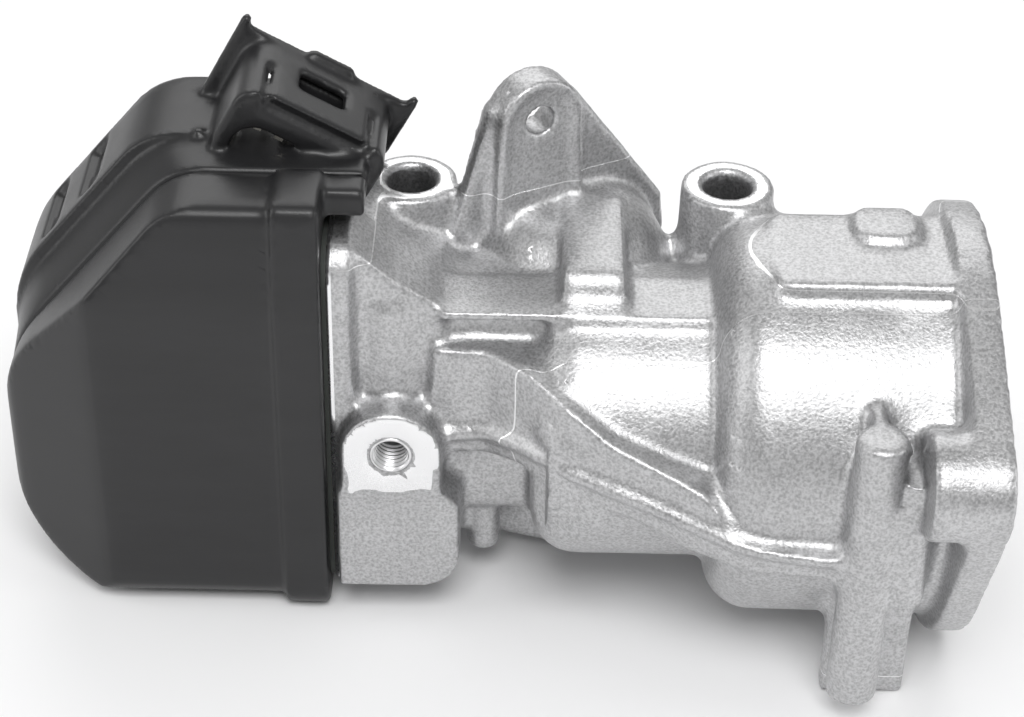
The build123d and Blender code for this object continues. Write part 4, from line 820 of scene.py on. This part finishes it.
class VALVE_OT_actuator(bpy.types.Operator):
    """Covers the actuator's two mouldings with softly rounded skins"""

    bl_idname = "valve.actuator"
    bl_label = "Actuator housing"

    def execute(self, context):
        settings = context.scene.valve_plastic
        finish = black_plastic(settings)
        skins = (
            ("gear_cover", "cover_skin", cover_details),
            ("motor_housing", "housing_skin", housing_details),
        )
        for node, name, details in skins:
            skin = moulded_skin(node, name, settings, details)
            dress(skin, finish)
            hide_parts(node)
            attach(skin, "root")
        dress(frame["nodes"]["hall_sensor"], finish)
        return {"FINISHED"}


class VALVE_OT_mechanism(bpy.types.Operator):
    """Gives every inner piece of the gear train, motor and valve its own finish"""

    bl_idname = "valve.mechanism"
    bl_label = "Mechanism"

    def execute(self, context):
        steel = turned_metal("ground_steel", (0.56, 0.56, 0.57), 0.32)
        seat = turned_metal("seat_steel", (0.50, 0.49, 0.47), 0.38)
        bronze = turned_metal("sintered_bronze", (0.52, 0.33, 0.15), 0.45)
        tin = turned_metal("tinned_brass", (0.76, 0.73, 0.66), 0.30)
        nylon = moulded("gear_nylon", (0.72, 0.69, 0.60), 0.38)
        ferrite = moulded("ferrite", (0.06, 0.06, 0.065), 0.62)
        rubber = moulded("seal_rubber", (0.018, 0.018, 0.018), 0.72)
        fibre = moulded("gasket_fibre", (0.05, 0.055, 0.05), 0.80)
        board = moulded("board_lacquer", (0.015, 0.11, 0.05), 0.35, coat=0.4)
        finishes = {
            "steel": steel, "bronze": bronze, "tinned_brass": tin, "natural_plastic": nylon,
            "ferrite": ferrite, "rubber": rubber, "gasket": fibre, "circuit_board": board,
        }
        for part in frame["record"]["subparts"]:
            material = finishes.get(part["material_slot"])
            if material:
                piece = frame["nodes"][part["node"]]
                dress(piece, seat if part["node"] in ("valve_seat", "valve_poppet") else material)
        dress(coil_spring(), steel)
        return {"FINISHED"}


class VALVE_OT_stage(bpy.types.Operator):
    """Sets the floor, the soft lights and the camera"""

    bl_idname = "valve.stage"
    bl_label = "Stage"

    def execute(self, context):
        settings = context.scene.valve_stage
        scene = context.scene
        half = 4.0
        corners = np.array([(-half, -half), (half, -half), (half, half), (-half, half)])
        corners = np.column_stack([corners, np.full(4, FLOOR_Z)])
        floor = add_piece("floor", corners, np.array([[0, 1, 2, 3]]))
        g = Graph("floor_paint")
        haze = g.noise(0.4, 2, 0.5)
        tone = g.mix(haze, settings.floor_tone, darker(settings.floor_tone, 0.985))
        dress(floor, g.finish(base_color=tone, roughness=0.75))

        world = bpy.data.worlds.new("studio")
        world.use_nodes = True
        background = world.node_tree.nodes["Background"]
        background.inputs["Color"].default_value = (1, 1, 1, 1)
        background.inputs["Strength"].default_value = settings.surround
        scene.world = world
        scene.view_settings.view_transform = "Standard"
        aim = np.array(settings.aim)
        for name, place, width, height, power in LAMPS:
            light = bpy.data.lights.new(name, "AREA")
            light.shape, light.size, light.size_y, light.energy = "RECTANGLE", width, height, power
            lamp = bpy.data.objects.new(name, light)
            lamp.matrix_world = look_at(np.array(place), aim, 0)
            scene.collection.objects.link(lamp)

        forward = np.array((0, math.cos(settings.pitch), -math.sin(settings.pitch)))
        camera = bpy.data.cameras.new("camera")
        camera.lens = settings.lens
        camera.clip_start = 0.01
        rig = bpy.data.objects.new("camera", camera)
        rig.matrix_world = look_at(aim - forward * settings.distance, aim, settings.roll)
        scene.collection.objects.link(rig)
        scene.camera = rig
        return {"FINISHED"}


# name, place, width, height and power of each soft lamp, all turned to the aim
LAMPS = (
    ("key", (-0.05, -0.55, 0.85), 0.55, 0.45, 6.0),
    ("back", (-0.10, 0.80, 0.70), 1.1, 0.7, 3.8),
    ("left", (-0.85, -0.10, 0.40), 0.4, 0.6, 1.6),
    ("right", (0.80, -0.15, 0.35), 0.4, 0.6, 1.6),
)


def look_at(place, aim, roll):
    """The matrix of a camera or lamp at a place, with its -Z axis on the aim, turned by roll."""
    forward = (aim - place) / np.linalg.norm(aim - place)
    right = np.cross(forward, (0, 0, 1))
    right /= np.linalg.norm(right)
    up = np.cross(right, forward)
    matrix = np.eye(4)
    matrix[:3, 0] = right * math.cos(roll) + up * math.sin(roll)
    matrix[:3, 1] = up * math.cos(roll) - right * math.sin(roll)
    matrix[:3, 2], matrix[:3, 3] = -forward, place
    return Matrix(matrix.tolist())


OPERATORS = (VALVE_OT_casting, VALVE_OT_actuator, VALVE_OT_mechanism, VALVE_OT_stage)


class VALVE_PT_panel(bpy.types.Panel):
    """Lists the valve's operators and settings"""

    bl_label = "EGR valve"
    bl_idname = "VALVE_PT_panel"
    bl_space_type = "VIEW_3D"
    bl_region_type = "UI"
    bl_category = "Valve"

    def draw(self, context):
        for operator in OPERATORS:
            self.layout.operator(operator.bl_idname)
        for name in SETTINGS:
            settings = getattr(context.scene, name)
            for key in settings.__annotations__:
                self.layout.prop(settings, key)


SETTINGS = {
    "valve_casting": CastingSettings,
    "valve_plastic": PlasticSettings,
    "valve_stage": StageSettings,
}


def register():
    for cls in (*SETTINGS.values(), *OPERATORS, VALVE_PT_panel):
        bpy.utils.register_class(cls)
    for name, cls in SETTINGS.items():
        setattr(bpy.types.Scene, name, PointerProperty(type=cls))


def unregister():
    for name in SETTINGS:
        delattr(bpy.types.Scene, name)
    for cls in reversed((*SETTINGS.values(), *OPERATORS, VALVE_PT_panel)):
        bpy.utils.unregister_class(cls)


def main():
    register()
    for operator in OPERATORS:
        group, name = operator.bl_idname.split(".")
        getattr(getattr(bpy.ops, group), name)()


if __name__ == "__main__":
    main()
